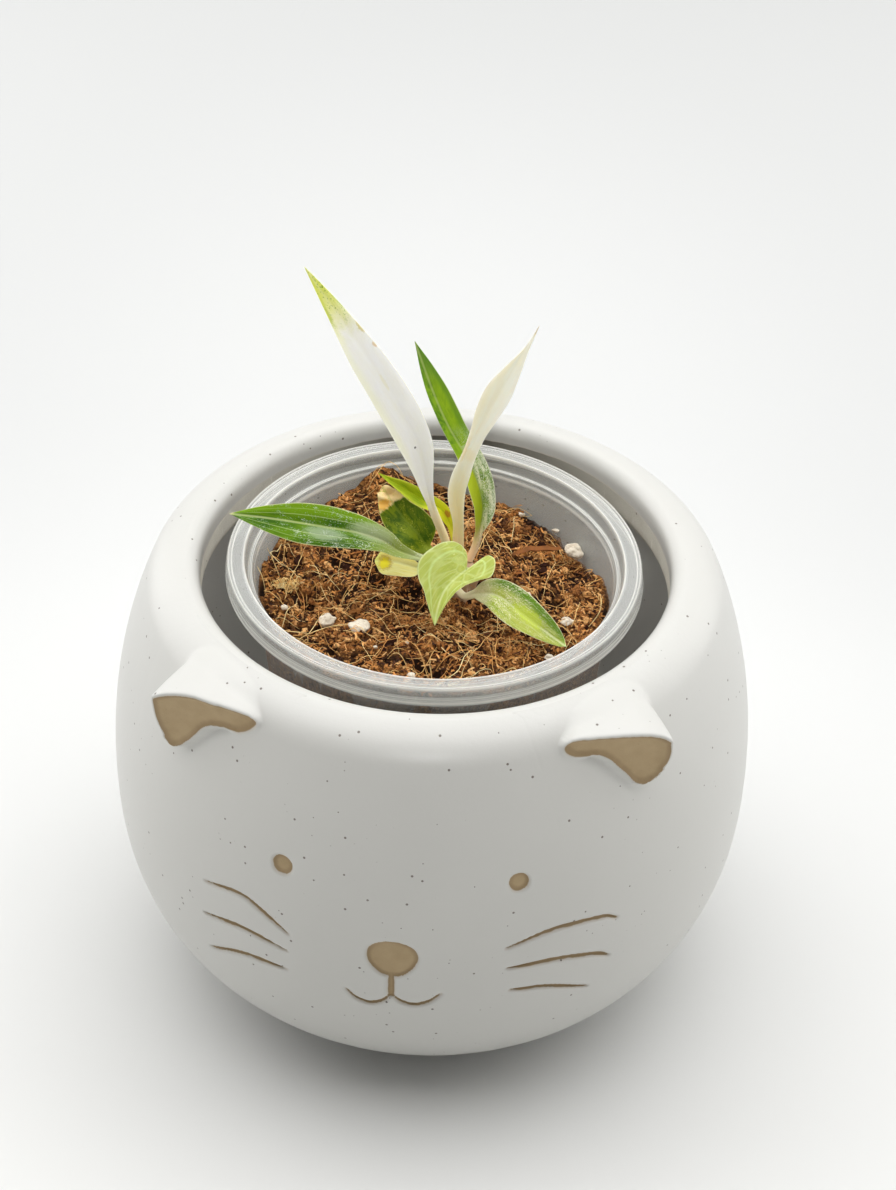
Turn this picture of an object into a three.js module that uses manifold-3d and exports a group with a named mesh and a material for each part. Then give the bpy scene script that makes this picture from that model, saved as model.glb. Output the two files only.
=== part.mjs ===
// Potted strawberry caramel philodendron: nine leaves on one crown, growing in coir in a clear nursery cup,
// which stands loose inside a round ceramic pot with a cat's ears and face.
// Millimetres, +Z up. The origin is the middle of the pot's foot, and the face looks towards -Y.
import * as THREE from "three";
import { ConvexGeometry } from "three/addons/geometries/ConvexGeometry.js";
import { mergeVertices } from "three/addons/utils/BufferGeometryUtils.js";
import Module from "manifold-3d";

const wasm = await Module();
wasm.setup();

// Driving dimensions
const gap = 0.3; // clearance between pieces that rest on each other
const around = 48; // segments round the pot, the cup and the soil

const pot = {
  height: 108.5, // foot to lip
  belly: 73.1, // largest radius
  bellyHeight: 52.5,
  lowerReach: 60.7, // how far the lower half would run down to its pole
  lowerPower: 2.4,
  upperReach: 96.2,
  upperPower: 2.07,
  shoulder: 104.8, // where the body bends into the lip
  opening: 51.6, // inside radius of the lip
  lipRound: 3,
  lipDepth: 9, // straight inside of the lip
  wall: 6,
  floor: 8,
  footOuter: 42.5,
  footInner: 35,
  footRecess: 1.5,
};

// One ear, on the +X side: its corners, and the clay hollow in its front
const ear = {
  apex: [53.2, -50, 102],
  lower: [48.6, -51, 91.4],
  inner: [30, -56, 103.6],
  topEdge: [43.6, -52.6, 104.6],
  back: [45, -41.5, 105.6],
  roots: [
    [44, -41, 98],
    [46, -46.5, 88.5],
    [29.5, -51.5, 100],
    [41, -38.5, 101],
  ],
  round: 1.1,
  hollow: 0.8,
};

// The face, as places on the body: degrees round from -Y towards +X, and height
const face = {
  eyes: { at: [[-19.8, 76], [20.3, 76.6]], radius: 2.2, depth: 0.7 },
  nose: { at: [-0.5, 56.6], width: 10.8, height: 10.2, depth: 0.7 },
  strokes: [
    { name: "philtrum", width: 1.4, path: [[-0.6, 52], [-0.6, 46.4]] },
    { name: "mouthLeft", width: 1, path: [[-8, 45.8], [-4.4, 42.9], [-0.7, 46]] },
    { name: "mouthRight", width: 1, path: [[-0.4, 45.9], [3.2, 43.6], [7.5, 47]] },
    { name: "whiskerLeftTop", width: 1, path: [[-35.3, 61.4], [-28.2, 63.4], [-23.5, 61.8], [-18.5, 58.2]] },
    { name: "whiskerLeftMiddle", width: 1, path: [[-35.7, 51.6], [-27.1, 54], [-18.8, 52.8]] },
    { name: "whiskerLeftLow", width: 1, path: [[-35.1, 41.2], [-27.1, 45.8], [-18.9, 46.9]] },
    { name: "whiskerRightTop", width: 1, path: [[18.4, 59.6], [26.3, 62.2], [34.6, 61.3], [38.2, 59.2]] },
    { name: "whiskerRightMiddle", width: 1, path: [[18.8, 53.5], [27.1, 53.1], [34.3, 50.6], [37.2, 48.4]] },
    { name: "whiskerRightLow", width: 1, path: [[19.4, 46.5], [25.7, 45.1], [33.5, 40.6]] },
  ],
  depth: 0.6,
};

const cup = {
  centre: [0, -3.5],
  rimTop: 108.9,
  rimRadius: 45,
  flare: 0.4, // the skirt stands out this much at its lower edge
  skirt: 3.8,
  flange: 3.5, // flat top of the rim
  seatDepth: 3,
  wallTop: 38.9, // inside radius under the rim's ledge
  wallBottom: 31,
  wall: 0.9,
};

const soil = {
  level: 102,
  rings: 12,
  swells: [
    { at: [-15, 31], rise: 6.5, spread: 9 },
    { at: [26, 24], rise: -6, spread: 12 },
    { at: [4, 34], rise: -1.5, spread: 8 },
    { at: [0, -38], rise: 2.2, spread: 14 },
    { at: [-7, -15], rise: -2.6, spread: 6 },
    { at: [12, -22], rise: -1.2, spread: 7 },
    { at: [4, -2], rise: 0.6, spread: 9 },
  ],
  bumps: [
    { size: 0.55, turns: [0.31, 0.17], phase: 0.4 },
    { size: 0.45, turns: [-0.22, 0.41], phase: 2.1 },
    { size: 0.35, turns: [0.55, -0.48], phase: 4.2 },
  ],
};

// Perlite grains on the soil: place, half length, half width, turn in degrees
const perlite = [
  { at: [29.8, 12], size: [2, 1.6], turn: 30 },
  { at: [-21.4, -19.8], size: [2, 1.4], turn: 10 },
  { at: [-14, -21], size: [2.1, 1.4], turn: -15 },
  { at: [29.6, -13.4], size: [1.4, 1.3], turn: 0 },
  { at: [25.6, -19.6], size: [1.2, 1], turn: 40 },
  { at: [-2, -33.6], size: [1.2, 1], turn: 0 },
  { at: [24, 19], size: [1, 0.9], turn: 20 },
];
const stick = { from: [20.5, 11], to: [27.8, 13.5], radius: 0.9 };

const crown = { centre: [4.2, -1.8], radius: 5.4, top: 105.6, bottom: 90 };

// Each leaf's spine runs from the crown along its petiole and midrib to its tip. blade is the share of it where
// the blade starts; left and right are half widths from there to the tip, evenly spaced, as seen from the front
// with the tip up; fold is how far both halves rise, in degrees. The heart-shaped leaf has a stalk of its own, and
// its outline is given flat, as [out, ahead] of where the stalk joins, each point tied to a place on the midrib.
const blade = { thickness: 0.7, rows: 12, columns: [-1, -0.55, 0, 0.55, 1], tip: 0.15 };
const leaves = [
  {
    name: "leaf_cream_tall",
    colour: 0xf1ead2,
    petiole: 0.95,
    blade: 0.21,
    spine: [
      [2.8, -0.4, 105.9], [2.1, -1, 112.4], [-1.2, -1.5, 122.7], [-4.2, -3.5, 138.9],
      [-11.1, -6, 155.4], [-19, -8, 170.3], [-26, -10, 183.2],
    ],
    left: [0.9, 2.3, 3.7, 4.1, 4, 3.7, 2.6, 1.4, 0],
    right: [0.2, 1.9, 3.4, 3.9, 3.8, 3.2, 2.4, 1.4, 0],
    fold: [35, 15, 10, 8, 8, 10, 14],
  },
  {
    name: "leaf_green_middle",
    colour: 0x5f8f2f,
    petiole: 0.85,
    blade: 0.13,
    spine: [
      [7.2, 1.6, 105.9], [8.6, 3, 109.7], [9.6, 4, 116.6], [9.3, 4.6, 120.4], [7.8, 5.2, 125.6],
      [5.2, 6, 130.8], [1.3, 7, 137.3], [-2.2, 8, 145.1], [-6.2, 9, 156.2],
    ],
    left: [1, 2.5, 2.9, 2.2, 1.7, 1.5, 1.4, 0.9, 0],
    right: [1, 3.7, 4.2, 3.8, 3.5, 3.6, 3.2, 1.9, 0],
    fold: [50, 45, 30, 15, 12, 12, 20],
  },
  {
    name: "leaf_cream_twisted",
    colour: 0xf0e2c8,
    petiole: 1.2,
    blade: 0.1,
    spine: [
      [5.4, -1.6, 105.9], [5, -1.8, 112], [5, -2, 118.1], [4.3, -2, 125.9], [5.7, -2.5, 133.3],
      [8.2, -3.2, 141.6], [11, -4, 149.7], [15, -5, 159.3], [20.1, -6, 171.2],
    ],
    left: [1.3, 1.3, 1.8, 1.9, 1.4, 1.8, 2.7, 2.9, 1.7, 0.3, 0],
    right: [1.3, 1.1, 1.8, 2, 1.7, 1.8, 2.5, 2.8, 1.9, 0.8, 0],
    fold: [10, 10, 10, 10],
  },
  {
    name: "leaf_green_left",
    colour: 0x4a7f2c,
    petiole: 0.85,
    blade: 0.14,
    spine: [
      [0.5, -2, 105.9], [-2, -4, 109.1], [-7.4, -5.6, 112.1], [-11, -6.7, 115.5],
      [-16.2, -8.4, 118.4], [-24.3, -8.6, 119.5], [-34.2, -7, 119.3], [-44.4, -4.6, 118],
    ],
    left: [0.6, 1.1, 2.4, 3.6, 4.3, 4.4, 3.5, 1.9, 0],
    right: [1, 1.5, 2.7, 4, 4.7, 4.4, 3.3, 1.9, 0],
    fold: [30, 20, 15, 12, 12, 12, 20],
  },
  {
    name: "leaf_olive_back",
    colour: 0x5c6e22,
    petiole: 0.85,
    blade: 0.2,
    spine: [
      [1, 0.9, 105.9], [-1.2, 1.6, 107.2], [-4.6, 3, 111.2], [-8.2, 5.6, 113.4], [-11.7, 7.6, 117.4],
      [-12.8, 9, 118.2],
    ],
    left: [3, 5.1, 4.7, 4.6, 4.1, 2.7, 0],
    right: [0.8, 4.3, 4.6, 4.2, 3.3, 2.4, 0],
    fold: [20, 15, 12, 12, 10],
  },
  {
    name: "leaf_lime_narrow",
    colour: 0xa4b83a,
    petiole: 0.7,
    blade: 0.28,
    spine: [
      [3.6, 1.9, 105.9], [3.6, 2.2, 111.4], [1.2, 3.4, 117], [-3.6, 5.5, 118.2], [-9.1, 8.1, 119.7],
      [-14.1, 11.2, 120.4],
    ],
    left: [0.9, 1.9, 2.1, 2.2, 1.6, 0.9, 0],
    right: [0.9, 1.8, 2.3, 2.5, 2, 0.9, 0],
    fold: [40, 40, 40, 40],
  },
  {
    name: "leaf_yellow_stub",
    colour: 0xd5cf7a,
    petiole: 0.8,
    blade: 0.25,
    spine: [[0.3, -4.2, 105.9], [-3, -3.9, 106.5], [-8.9, -4, 107.9], [-13, -3.6, 107.5]],
    left: [1.4, 2.6, 2.9, 3, 2.4, 0],
    right: [0.7, 1.6, 2.1, 2.1, 2, 0],
    fold: [15, 12, 12],
  },
  {
    name: "leaf_heart_front",
    colour: 0xa9cc74,
    petiole: 0.85,
    blade: 0,
    stalk: [[6.6, -4.4, 105.9], [7, -6.4, 108.9], [7.6, -9, 111.2], [7.2, -11.2, 112.6], [6.2, -12.5, 112.3]],
    spine: [
      [7.5, -11, 112.6], [5.6, -13.2, 112], [3.9, -15.6, 111.1], [2.8, -18, 109.5], [2.3, -20.2, 107.6],
      [2.1, -22, 105.7],
    ],
    heart: {
      rib: [0, 0.15, 0.4, 0.8, 1.4, 2.2, 3.3, 4.9, 6.8, 9, 11.7, 14.7],
      left: [
        [0.2, -1.6], [0.1, -4.6], [0.6, -6.4], [2.2, -6.6], [3.8, -5], [4.6, -3], [3.7, -0.8], [2.8, 2],
        [2.4, 4.8], [2, 8], [1, 11.8], [0.15, 14.7],
      ],
      right: [
        [0.8, -1], [2.6, -2.3], [4.8, -2.5], [6.6, -1.5], [7.7, 0.4], [8.3, 3], [8.3, 5.6], [6.2, 7.5],
        [4.2, 8.7], [2.7, 10.3], [1.3, 12.5], [0.15, 14.7],
      ],
    },
    fold: [12, 12, 14, 14, 12],
  },
  {
    name: "leaf_silver_front",
    colour: 0x8fae4e,
    petiole: 0.8,
    blade: 0.2,
    spine: [
      [7.35, -6.65, 104.6], [8.6, -9.9, 105.4], [10.7, -10.6, 106.8], [14.8, -15.2, 109.6],
      [21.4, -20.4, 108.5], [28.5, -23.9, 105.7], [30.1, -26, 106.2],
    ],
    left: [1, 2.8, 4, 4.4, 3.8, 2.5, 0],
    right: [1, 2.5, 3.6, 3.8, 2.9, 1.8, 0],
    fold: [20, 15, 12, 12, 10],
  },
];

// A closed three.js geometry as a solid, and a solid as a geometry
function solid(geometry) {
  const bare = geometry.clone();
  for (const name of Object.keys(bare.attributes)) {
    if (name !== "position") bare.deleteAttribute(name);
  }
  const merged = mergeVertices(bare, 1e-4);
  return new wasm.Manifold(
    new wasm.Mesh({
      numProp: 3,
      vertProperties: new Float32Array(merged.attributes.position.array),
      triVerts: new Uint32Array(merged.index.array),
    }),
  );
}

function geometryOf(body) {
  const mesh = body.getMesh();
  const corners = new Float32Array(mesh.numVert * 3);
  for (let i = 0; i < mesh.numVert; i++) {
    const start = i * mesh.numProp;
    corners.set(mesh.vertProperties.subarray(start, start + 3), i * 3);
  }
  const geometry = new THREE.BufferGeometry();
  geometry.setAttribute("position", new THREE.BufferAttribute(corners, 3));
  geometry.setIndex(new THREE.BufferAttribute(new Uint32Array(mesh.triVerts), 1));
  geometry.computeVertexNormals();
  return geometry;
}

const vector = (point) => new THREE.Vector3(...point);
const radians = THREE.MathUtils.degToRad;

// A smooth value at t from values spaced evenly over 0..1
function along(values, t) {
  const last = values.length - 1;
  const place = THREE.MathUtils.clamp(t, 0, 1) * last;
  const i = Math.min(Math.floor(place), last - 1);
  const f = place - i;
  const a = values[Math.max(i - 1, 0)];
  const b = values[i];
  const c = values[i + 1];
  const d = values[Math.min(i + 2, last)];
  return b + 0.5 * f * (c - a + f * (2 * a - 5 * b + 4 * c - d + f * (3 * (b - c) + d - a)));
}

// A profile of [radius, height] points turned round the Z axis
function turned(profile) {
  const points = profile.map(([radius, height]) => new THREE.Vector2(radius, height));
  return new THREE.LatheGeometry(points, around).rotateX(Math.PI / 2);
}

// The pot
function bodyRadius(height) {
  const upper = height > pot.bellyHeight;
  const reach = upper ? pot.upperReach : pot.lowerReach;
  const power = upper ? pot.upperPower : pot.lowerPower;
  const share = Math.abs(height - pot.bellyHeight) / reach;
  return pot.belly * (1 - share ** power) ** (1 / power);
}

// The point of the body's surface at an angle from -Y, pushed out by offset
function onBody([degrees, height], offset = 0) {
  const step = 0.5;
  const slope = (bodyRadius(height + step) - bodyRadius(height - step)) / (2 * step);
  const out = new THREE.Vector3(Math.sin(radians(degrees)), -Math.cos(radians(degrees)), 0);
  const normal = out.clone().setZ(-slope).normalize();
  return { point: out.multiplyScalar(bodyRadius(height)).setZ(height).addScaledVector(normal, offset), normal };
}

function potProfile() {
  const outside = [];
  const steps = 14;
  for (let i = 0; i <= steps; i++) {
    const height = 0.8 + ((pot.shoulder - 0.8) * i) / steps;
    outside.push([bodyRadius(height), height]);
  }
  const shoulderRadius = bodyRadius(pot.shoulder);
  const lipTop = [
    [shoulderRadius - 1.6, pot.shoulder + 1.9],
    [shoulderRadius - 4.2, pot.height - 0.6],
    [pot.opening + pot.lipRound, pot.height],
  ];
  for (const degrees of [30, 60, 90]) {
    lipTop.push([
      pot.opening + pot.lipRound * (1 - Math.sin(radians(degrees))),
      pot.height - pot.lipRound * (1 - Math.cos(radians(degrees))),
    ]);
  }
  const inside = [[pot.opening, pot.height - pot.lipDepth]];
  for (const height of [88, 74, 60, 46, 32, 20, 12]) {
    inside.push([bodyRadius(height) - pot.wall - Math.max(0, 16 - height), height]);
  }
  return [
    [0, pot.footRecess],
    [pot.footInner - 1, pot.footRecess],
    [pot.footInner, 0],
    [pot.footOuter, 0],
    ...outside,
    ...lipTop,
    ...inside,
    [38, pot.floor],
    [0, pot.floor],
  ];
}

// Rounded convex lump round some points
function lump(points, round) {
  const ball = new THREE.IcosahedronGeometry(round, 0).attributes.position;
  const cloud = [];
  for (const point of points) {
    for (let i = 0; i < ball.count; i++) {
      cloud.push(vector(point).add(new THREE.Vector3().fromBufferAttribute(ball, i)));
    }
  }
  return solid(new ConvexGeometry(cloud));
}

// The hollow in the ear's front: an outline in the plane of its three front corners
function earHollow() {
  const inner = vector(ear.inner);
  const across = vector(ear.apex).sub(inner);
  const length = across.length();
  across.normalize();
  const toLower = vector(ear.lower).sub(inner);
  const lowerAlong = toLower.dot(across);
  const down = toLower.addScaledVector(across, -lowerAlong);
  const drop = down.length();
  down.normalize();
  const out = across.clone().cross(down).normalize();
  const shape = new THREE.Shape();
  shape.moveTo(2.6, 1.1);
  shape.quadraticCurveTo(length * 0.55, -1.9, length - 1.6, -0.7);
  shape.quadraticCurveTo(length + 0.2, -0.2, length - 0.3, 1.6);
  shape.lineTo(lowerAlong + 0.9, drop - 1.2);
  shape.quadraticCurveTo(lowerAlong, drop + 0.1, lowerAlong - 1.6, drop - 1.4);
  shape.quadraticCurveTo(length * 0.42, 3.2, 2.6, 1.9);
  const depth = ear.round + ear.hollow + 3;
  const cutter = new THREE.ExtrudeGeometry(shape, { depth, bevelEnabled: false, curveSegments: 5 });
  const frontSign = out.y < 0 ? 1 : -1; // the hollow opens towards -Y
  cutter.translate(0, 0, frontSign > 0 ? ear.round - ear.hollow : -ear.round + ear.hollow - depth);
  return cutter.applyMatrix4(new THREE.Matrix4().makeBasis(across, down, out).setPosition(inner));
}

function mirrored(geometry) {
  const other = (geometry.index ? geometry.toNonIndexed() : geometry.clone()).scale(-1, 1, 1);
  const corners = other.attributes.position;
  for (let i = 0; i < corners.count; i += 3) {
    const kept = new THREE.Vector3().fromBufferAttribute(corners, i + 1);
    corners.setXYZ(i + 1, corners.getX(i + 2), corners.getY(i + 2), corners.getZ(i + 2));
    corners.setXYZ(i + 2, kept.x, kept.y, kept.z);
  }
  return other;
}

// A disc-shaped cutter lying on the body's surface
function dimple(place, width, height, depth) {
  const { point, normal } = onBody(place);
  const disc = new THREE.CylinderGeometry(0.5, 0.42, 2 * depth, 16).scale(width, 1, height);
  const upright = new THREE.Vector3(0, 0, 1).addScaledVector(normal, -normal.z).normalize();
  const side = normal.clone().cross(upright);
  return disc.applyMatrix4(new THREE.Matrix4().makeBasis(side, normal, upright).setPosition(point));
}

// A groove along a line on the body's surface
function groove({ path, width }) {
  const line = new THREE.CatmullRomCurve3(path.map((place) => onBody(place, 0.5 * width - face.depth).point));
  const section = new THREE.Shape();
  const sides = 6;
  for (let i = 0; i < sides; i++) {
    const angle = (2 * Math.PI * i) / sides;
    section[i ? "lineTo" : "moveTo"](0.5 * width * Math.cos(angle), 0.5 * width * Math.sin(angle));
  }
  const steps = 4 * (path.length - 1);
  return new THREE.ExtrudeGeometry(section, { steps, extrudePath: line });
}

function potSolid() {
  const right = lump([ear.apex, ear.lower, ear.inner, ear.topEdge, ear.back, ...ear.roots], ear.round);
  const left = solid(mirrored(geometryOf(right)));
  const hollow = earHollow();
  let body = solid(turned(potProfile())).add(right).add(left);
  const cutters = [hollow, mirrored(hollow)];
  for (const place of face.eyes.at) {
    cutters.push(dimple(place, 2 * face.eyes.radius, 2 * face.eyes.radius, face.eyes.depth));
  }
  cutters.push(dimple(face.nose.at, face.nose.width, face.nose.height, face.nose.depth));
  cutters.push(...face.strokes.map(groove));
  for (const cutter of cutters) body = body.subtract(solid(cutter));
  return body;
}

// The clear cup
function cupInside(height) {
  const bottom = pot.floor + gap + cup.wall;
  const ledge = cup.rimTop - cup.seatDepth - 0.5;
  return THREE.MathUtils.mapLinear(height, bottom, ledge, cup.wallBottom - cup.wall, cup.wallTop);
}

function cupProfile() {
  const { rimTop, rimRadius, flange, seatDepth, skirt, flare, wall, wallTop, wallBottom } = cup;
  const base = pot.floor + gap;
  const ledge = rimTop - seatDepth - 0.5;
  const seat = rimRadius - flange;
  return [
    [0, base],
    [wallBottom - 1, base],
    [wallBottom, base + 1],
    [wallTop + wall, ledge - wall],
    [seat + 0.5, rimTop - seatDepth - wall],
    [seat + wall, rimTop - wall],
    [rimRadius - wall, rimTop - wall],
    [rimRadius - wall + flare, rimTop - skirt],
    [rimRadius + flare, rimTop - skirt],
    [rimRadius, rimTop - 0.4],
    [rimRadius - 0.5, rimTop],
    [seat, rimTop],
    [seat - 0.1, rimTop - 0.4],
    [seat - 0.4, rimTop - seatDepth],
    [wallTop, ledge],
    [cupInside(base + wall), base + wall],
    [0, base + wall],
  ];
}

// The soil: a tapered block with a rough top that follows swells and bumps
function soilHeight(x, y) {
  let height = soil.level;
  for (const { at, rise, spread } of soil.swells) {
    height += rise * Math.exp(-((x - at[0]) ** 2 + (y - at[1]) ** 2) / (2 * spread ** 2));
  }
  for (const { size, turns, phase } of soil.bumps) {
    height += size * Math.sin(2 * Math.PI * 0.25 * (turns[0] * x + turns[1] * y) + phase);
  }
  return height;
}

function soilGeometry() {
  const bottom = pot.floor + cup.wall + 2 * gap;
  const [cx, cy] = cup.centre;
  const corners = [];
  const faces = [];
  const ring = (r) => 1 + (r - 1) * around; // first corner of a ring
  corners.push(cx, cy, soilHeight(cx, cy));
  for (let r = 1; r <= soil.rings; r++) {
    for (let i = 0; i < around; i++) {
      const angle = (2 * Math.PI * i) / around;
      const edge = cupInside(soil.level) - gap;
      let x = cx + ((edge * r) / soil.rings) * Math.sin(angle);
      let y = cy + ((edge * r) / soil.rings) * Math.cos(angle);
      const z = Math.min(soilHeight(x, y), cup.rimTop - cup.seatDepth - 1.2 + 3 * (soil.rings - r));
      if (r === soil.rings) {
        x = cx + (cupInside(z) - gap) * Math.sin(angle);
        y = cy + (cupInside(z) - gap) * Math.cos(angle);
      }
      corners.push(x, y, z);
    }
  }
  for (let i = 0; i < around; i++) {
    const angle = (2 * Math.PI * i) / around;
    const radius = cupInside(bottom) - gap;
    corners.push(cx + radius * Math.sin(angle), cy + radius * Math.cos(angle), bottom);
  }
  corners.push(cx, cy, bottom);
  const centre = ring(soil.rings + 2);
  for (let i = 0; i < around; i++) {
    const next = (i + 1) % around;
    faces.push(0, ring(1) + next, ring(1) + i);
    for (let r = 1; r <= soil.rings; r++) {
      const [a, b, c, d] = [ring(r) + i, ring(r) + next, ring(r + 1) + i, ring(r + 1) + next];
      faces.push(a, b, d, a, d, c);
    }
    faces.push(centre, ring(soil.rings + 1) + i, ring(soil.rings + 1) + next);
  }
  const geometry = new THREE.BufferGeometry();
  geometry.setAttribute("position", new THREE.Float32BufferAttribute(corners, 3));
  geometry.setIndex(faces);
  return geometry;
}

function soilSolid() {
  let body = solid(soilGeometry());
  for (const { at, size, turn } of perlite) {
    const grain = new THREE.IcosahedronGeometry(1, 0).scale(size[0], size[1], size[1]).rotateZ(radians(turn));
    body = body.add(solid(grain.translate(at[0], at[1], soilHeight(...at) + 0.3 * size[1])));
  }
  const ends = [stick.from, stick.to].map(([x, y]) => new THREE.Vector3(x, y, soilHeight(x, y) + 0.2));
  const bar = new THREE.CylinderGeometry(stick.radius, stick.radius, ends[0].distanceTo(ends[1]), 6);
  const turn = new THREE.Quaternion().setFromUnitVectors(
    new THREE.Vector3(0, 1, 0),
    ends[1].clone().sub(ends[0]).normalize(),
  );
  bar.applyQuaternion(turn).translate(...ends[0].clone().lerp(ends[1], 0.5).toArray());
  body = body.add(solid(bar));
  const holeDepth = cup.rimTop - crown.bottom + gap;
  const hole = new THREE.CylinderGeometry(crown.radius + gap, crown.radius + gap, holeDepth, 24);
  hole.rotateX(Math.PI / 2).translate(...crown.centre, crown.bottom - gap + holeDepth / 2);
  return body.subtract(solid(hole));
}

// The crown: the short stem that every petiole leaves
function crownGeometry() {
  const { radius, top, bottom } = crown;
  const profile = [
    [0, bottom],
    [radius - 1.5, bottom],
    [radius, bottom + 4],
    [radius, top - 1.2],
    [radius - 0.6, top],
    [0, top],
  ];
  const points = profile.map(([r, z]) => new THREE.Vector2(r, z));
  return new THREE.LatheGeometry(points, 24).rotateX(Math.PI / 2).translate(...crown.centre, 0);
}

// The leaf's own axes at a share of its spine: along it, out of its upper face, and to its right
function leafFrame(spine, share) {
  const tangent = spine.getTangentAt(share);
  const upper = new THREE.Vector3(0, -1, 0.8).normalize();
  upper.addScaledVector(tangent, -upper.dot(tangent)).normalize();
  return { point: spine.getPointAt(share), tangent, upper, side: tangent.clone().cross(upper) };
}

// The flat outline at v of the way to the tip: the midrib's place, and each edge as [out, ahead]
function outline(leaf, length, v) {
  if (!leaf.heart) {
    const ahead = length * v;
    const edge = (widths) => [Math.max(along(widths, v), blade.tip), ahead];
    return { rib: ahead, left: edge(leaf.left), right: edge(leaf.right) };
  }
  const edge = (points) => [0, 1].map((k) => along(points.map((point) => point[k]), v));
  return { rib: along(leaf.heart.rib, v), left: edge(leaf.heart.left), right: edge(leaf.heart.right) };
}

function bladeGeometry(leaf, spine) {
  const { rows, columns, thickness } = blade;
  const width = columns.length;
  const whole = spine.getLength();
  const corners = [];
  for (const layer of [0.5, -0.5]) {
    for (let row = 0; row <= rows; row++) {
      const v = row / rows;
      const { rib, left, right } = outline(leaf, whole * (1 - leaf.blade), v);
      const fold = radians(along(leaf.fold, v));
      for (const column of columns) {
        const [out, edgeAhead] = column < 0 ? left : right;
        const half = out * Math.abs(column);
        const ahead = rib + (edgeAhead - rib) * Math.abs(column);
        const share = Math.min(leaf.blade + Math.max(ahead, 0) / whole, 1);
        const { point, tangent, upper, side } = leafFrame(spine, share);
        const corner = point.clone().addScaledVector(tangent, Math.min(ahead, 0));
        corner.addScaledVector(upper, layer * thickness + half * Math.sin(fold));
        corners.push(...corner.addScaledVector(side, Math.sign(column) * half * Math.cos(fold)).toArray());
      }
    }
  }
  const under = (rows + 1) * width;
  const faces = [];
  const quad = (a, b, c, d) => faces.push(a, b, c, a, c, d);
  for (let row = 0; row < rows; row++) {
    for (let i = 0; i < width - 1; i++) {
      const a = row * width + i;
      quad(a, a + 1, a + width + 1, a + width);
      faces.push(under + a, under + a + width + 1, under + a + 1);
      faces.push(under + a, under + a + width, under + a + width + 1);
    }
    const left = row * width;
    const right = left + width - 1;
    quad(left, left + width, under + left + width, under + left);
    quad(right, under + right, under + right + width, right + width);
  }
  for (let i = 0; i < width - 1; i++) {
    const last = rows * width + i;
    quad(i, under + i, under + i + 1, i + 1);
    quad(last, last + 1, under + last + 1, under + last);
  }
  const geometry = new THREE.BufferGeometry();
  geometry.setAttribute("position", new THREE.Float32BufferAttribute(corners, 3));
  geometry.setIndex(faces);
  return geometry;
}

// The petiole: a tapered stalk from the crown into the blade, where it runs out as the midrib
function petioleGeometry(leaf, spine) {
  const sides = 6;
  const steps = 6;
  const line = leaf.stalk ? new THREE.CatmullRomCurve3(leaf.stalk.map(vector)) : spine;
  const joint = leaf.stalk ? 0.85 : leaf.blade;
  const reach = leaf.stalk ? 1 : leaf.blade + 0.12;
  const foot = line.points[0].z; // where it is cut level
  const corners = [];
  const faces = [];
  for (let step = 0; step <= steps; step++) {
    const share = (reach * step) / steps;
    const { point, upper, side } = leafFrame(line, share);
    const radius = leaf.petiole * (1 - (0.7 * Math.max(share - joint, 0)) / (reach - joint));
    for (let i = 0; i < sides; i++) {
      const angle = (2 * Math.PI * i) / sides;
      const corner = point.clone().addScaledVector(side, radius * Math.cos(angle));
      corner.addScaledVector(upper, radius * Math.sin(angle));
      corners.push(corner.x, corner.y, Math.max(corner.z, foot));
    }
  }
  for (let step = 0; step < steps; step++) {
    for (let i = 0; i < sides; i++) {
      const a = step * sides + i;
      const b = step * sides + ((i + 1) % sides);
      faces.push(a, a + sides, b, b, a + sides, b + sides);
    }
  }
  for (let i = 1; i < sides - 1; i++) {
    faces.push(0, i, i + 1);
    const last = steps * sides;
    faces.push(last, last + i + 1, last + i);
  }
  const geometry = new THREE.BufferGeometry();
  geometry.setAttribute("position", new THREE.Float32BufferAttribute(corners, 3));
  geometry.setIndex(faces);
  return geometry;
}

function leafSolid(leaf) {
  const spine = new THREE.CatmullRomCurve3(leaf.spine.map(vector));
  return solid(bladeGeometry(leaf, spine)).add(solid(petioleGeometry(leaf, spine)));
}

// The scene
const finishes = {
  glaze: { color: 0xf3f1ea, roughness: 0.55 },
  plastic: { color: 0xdfe4e0, roughness: 0.2, transparent: true, opacity: 0.4 },
  coir: { color: 0x6e4526, roughness: 1 },
  stem: { color: 0xc9b08a, roughness: 0.6 },
};

function piece(name, geometry, finish) {
  const mesh = new THREE.Mesh(geometry, new THREE.MeshStandardMaterial({ metalness: 0, ...finish }));
  mesh.name = name;
  return mesh;
}

const plant = new THREE.Group();
plant.add(piece("crown", crownGeometry(), finishes.stem));
for (const leaf of leaves) {
  plant.add(piece(leaf.name, geometryOf(leafSolid(leaf)), { color: leaf.colour, roughness: 0.5 }));
}

const group = new THREE.Group();
group.add(piece("pot", geometryOf(potSolid()), finishes.glaze));
const liner = piece("cup", turned(cupProfile()), finishes.plastic);
liner.position.set(...cup.centre, 0);
group.add(liner, piece("soil", geometryOf(soilSolid()), finishes.coir), plant);

export default group;
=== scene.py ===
import math
import random
from contextlib import contextmanager

import bpy
import numpy as np
from mathutils import Matrix, Quaternion, Vector, noise


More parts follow.
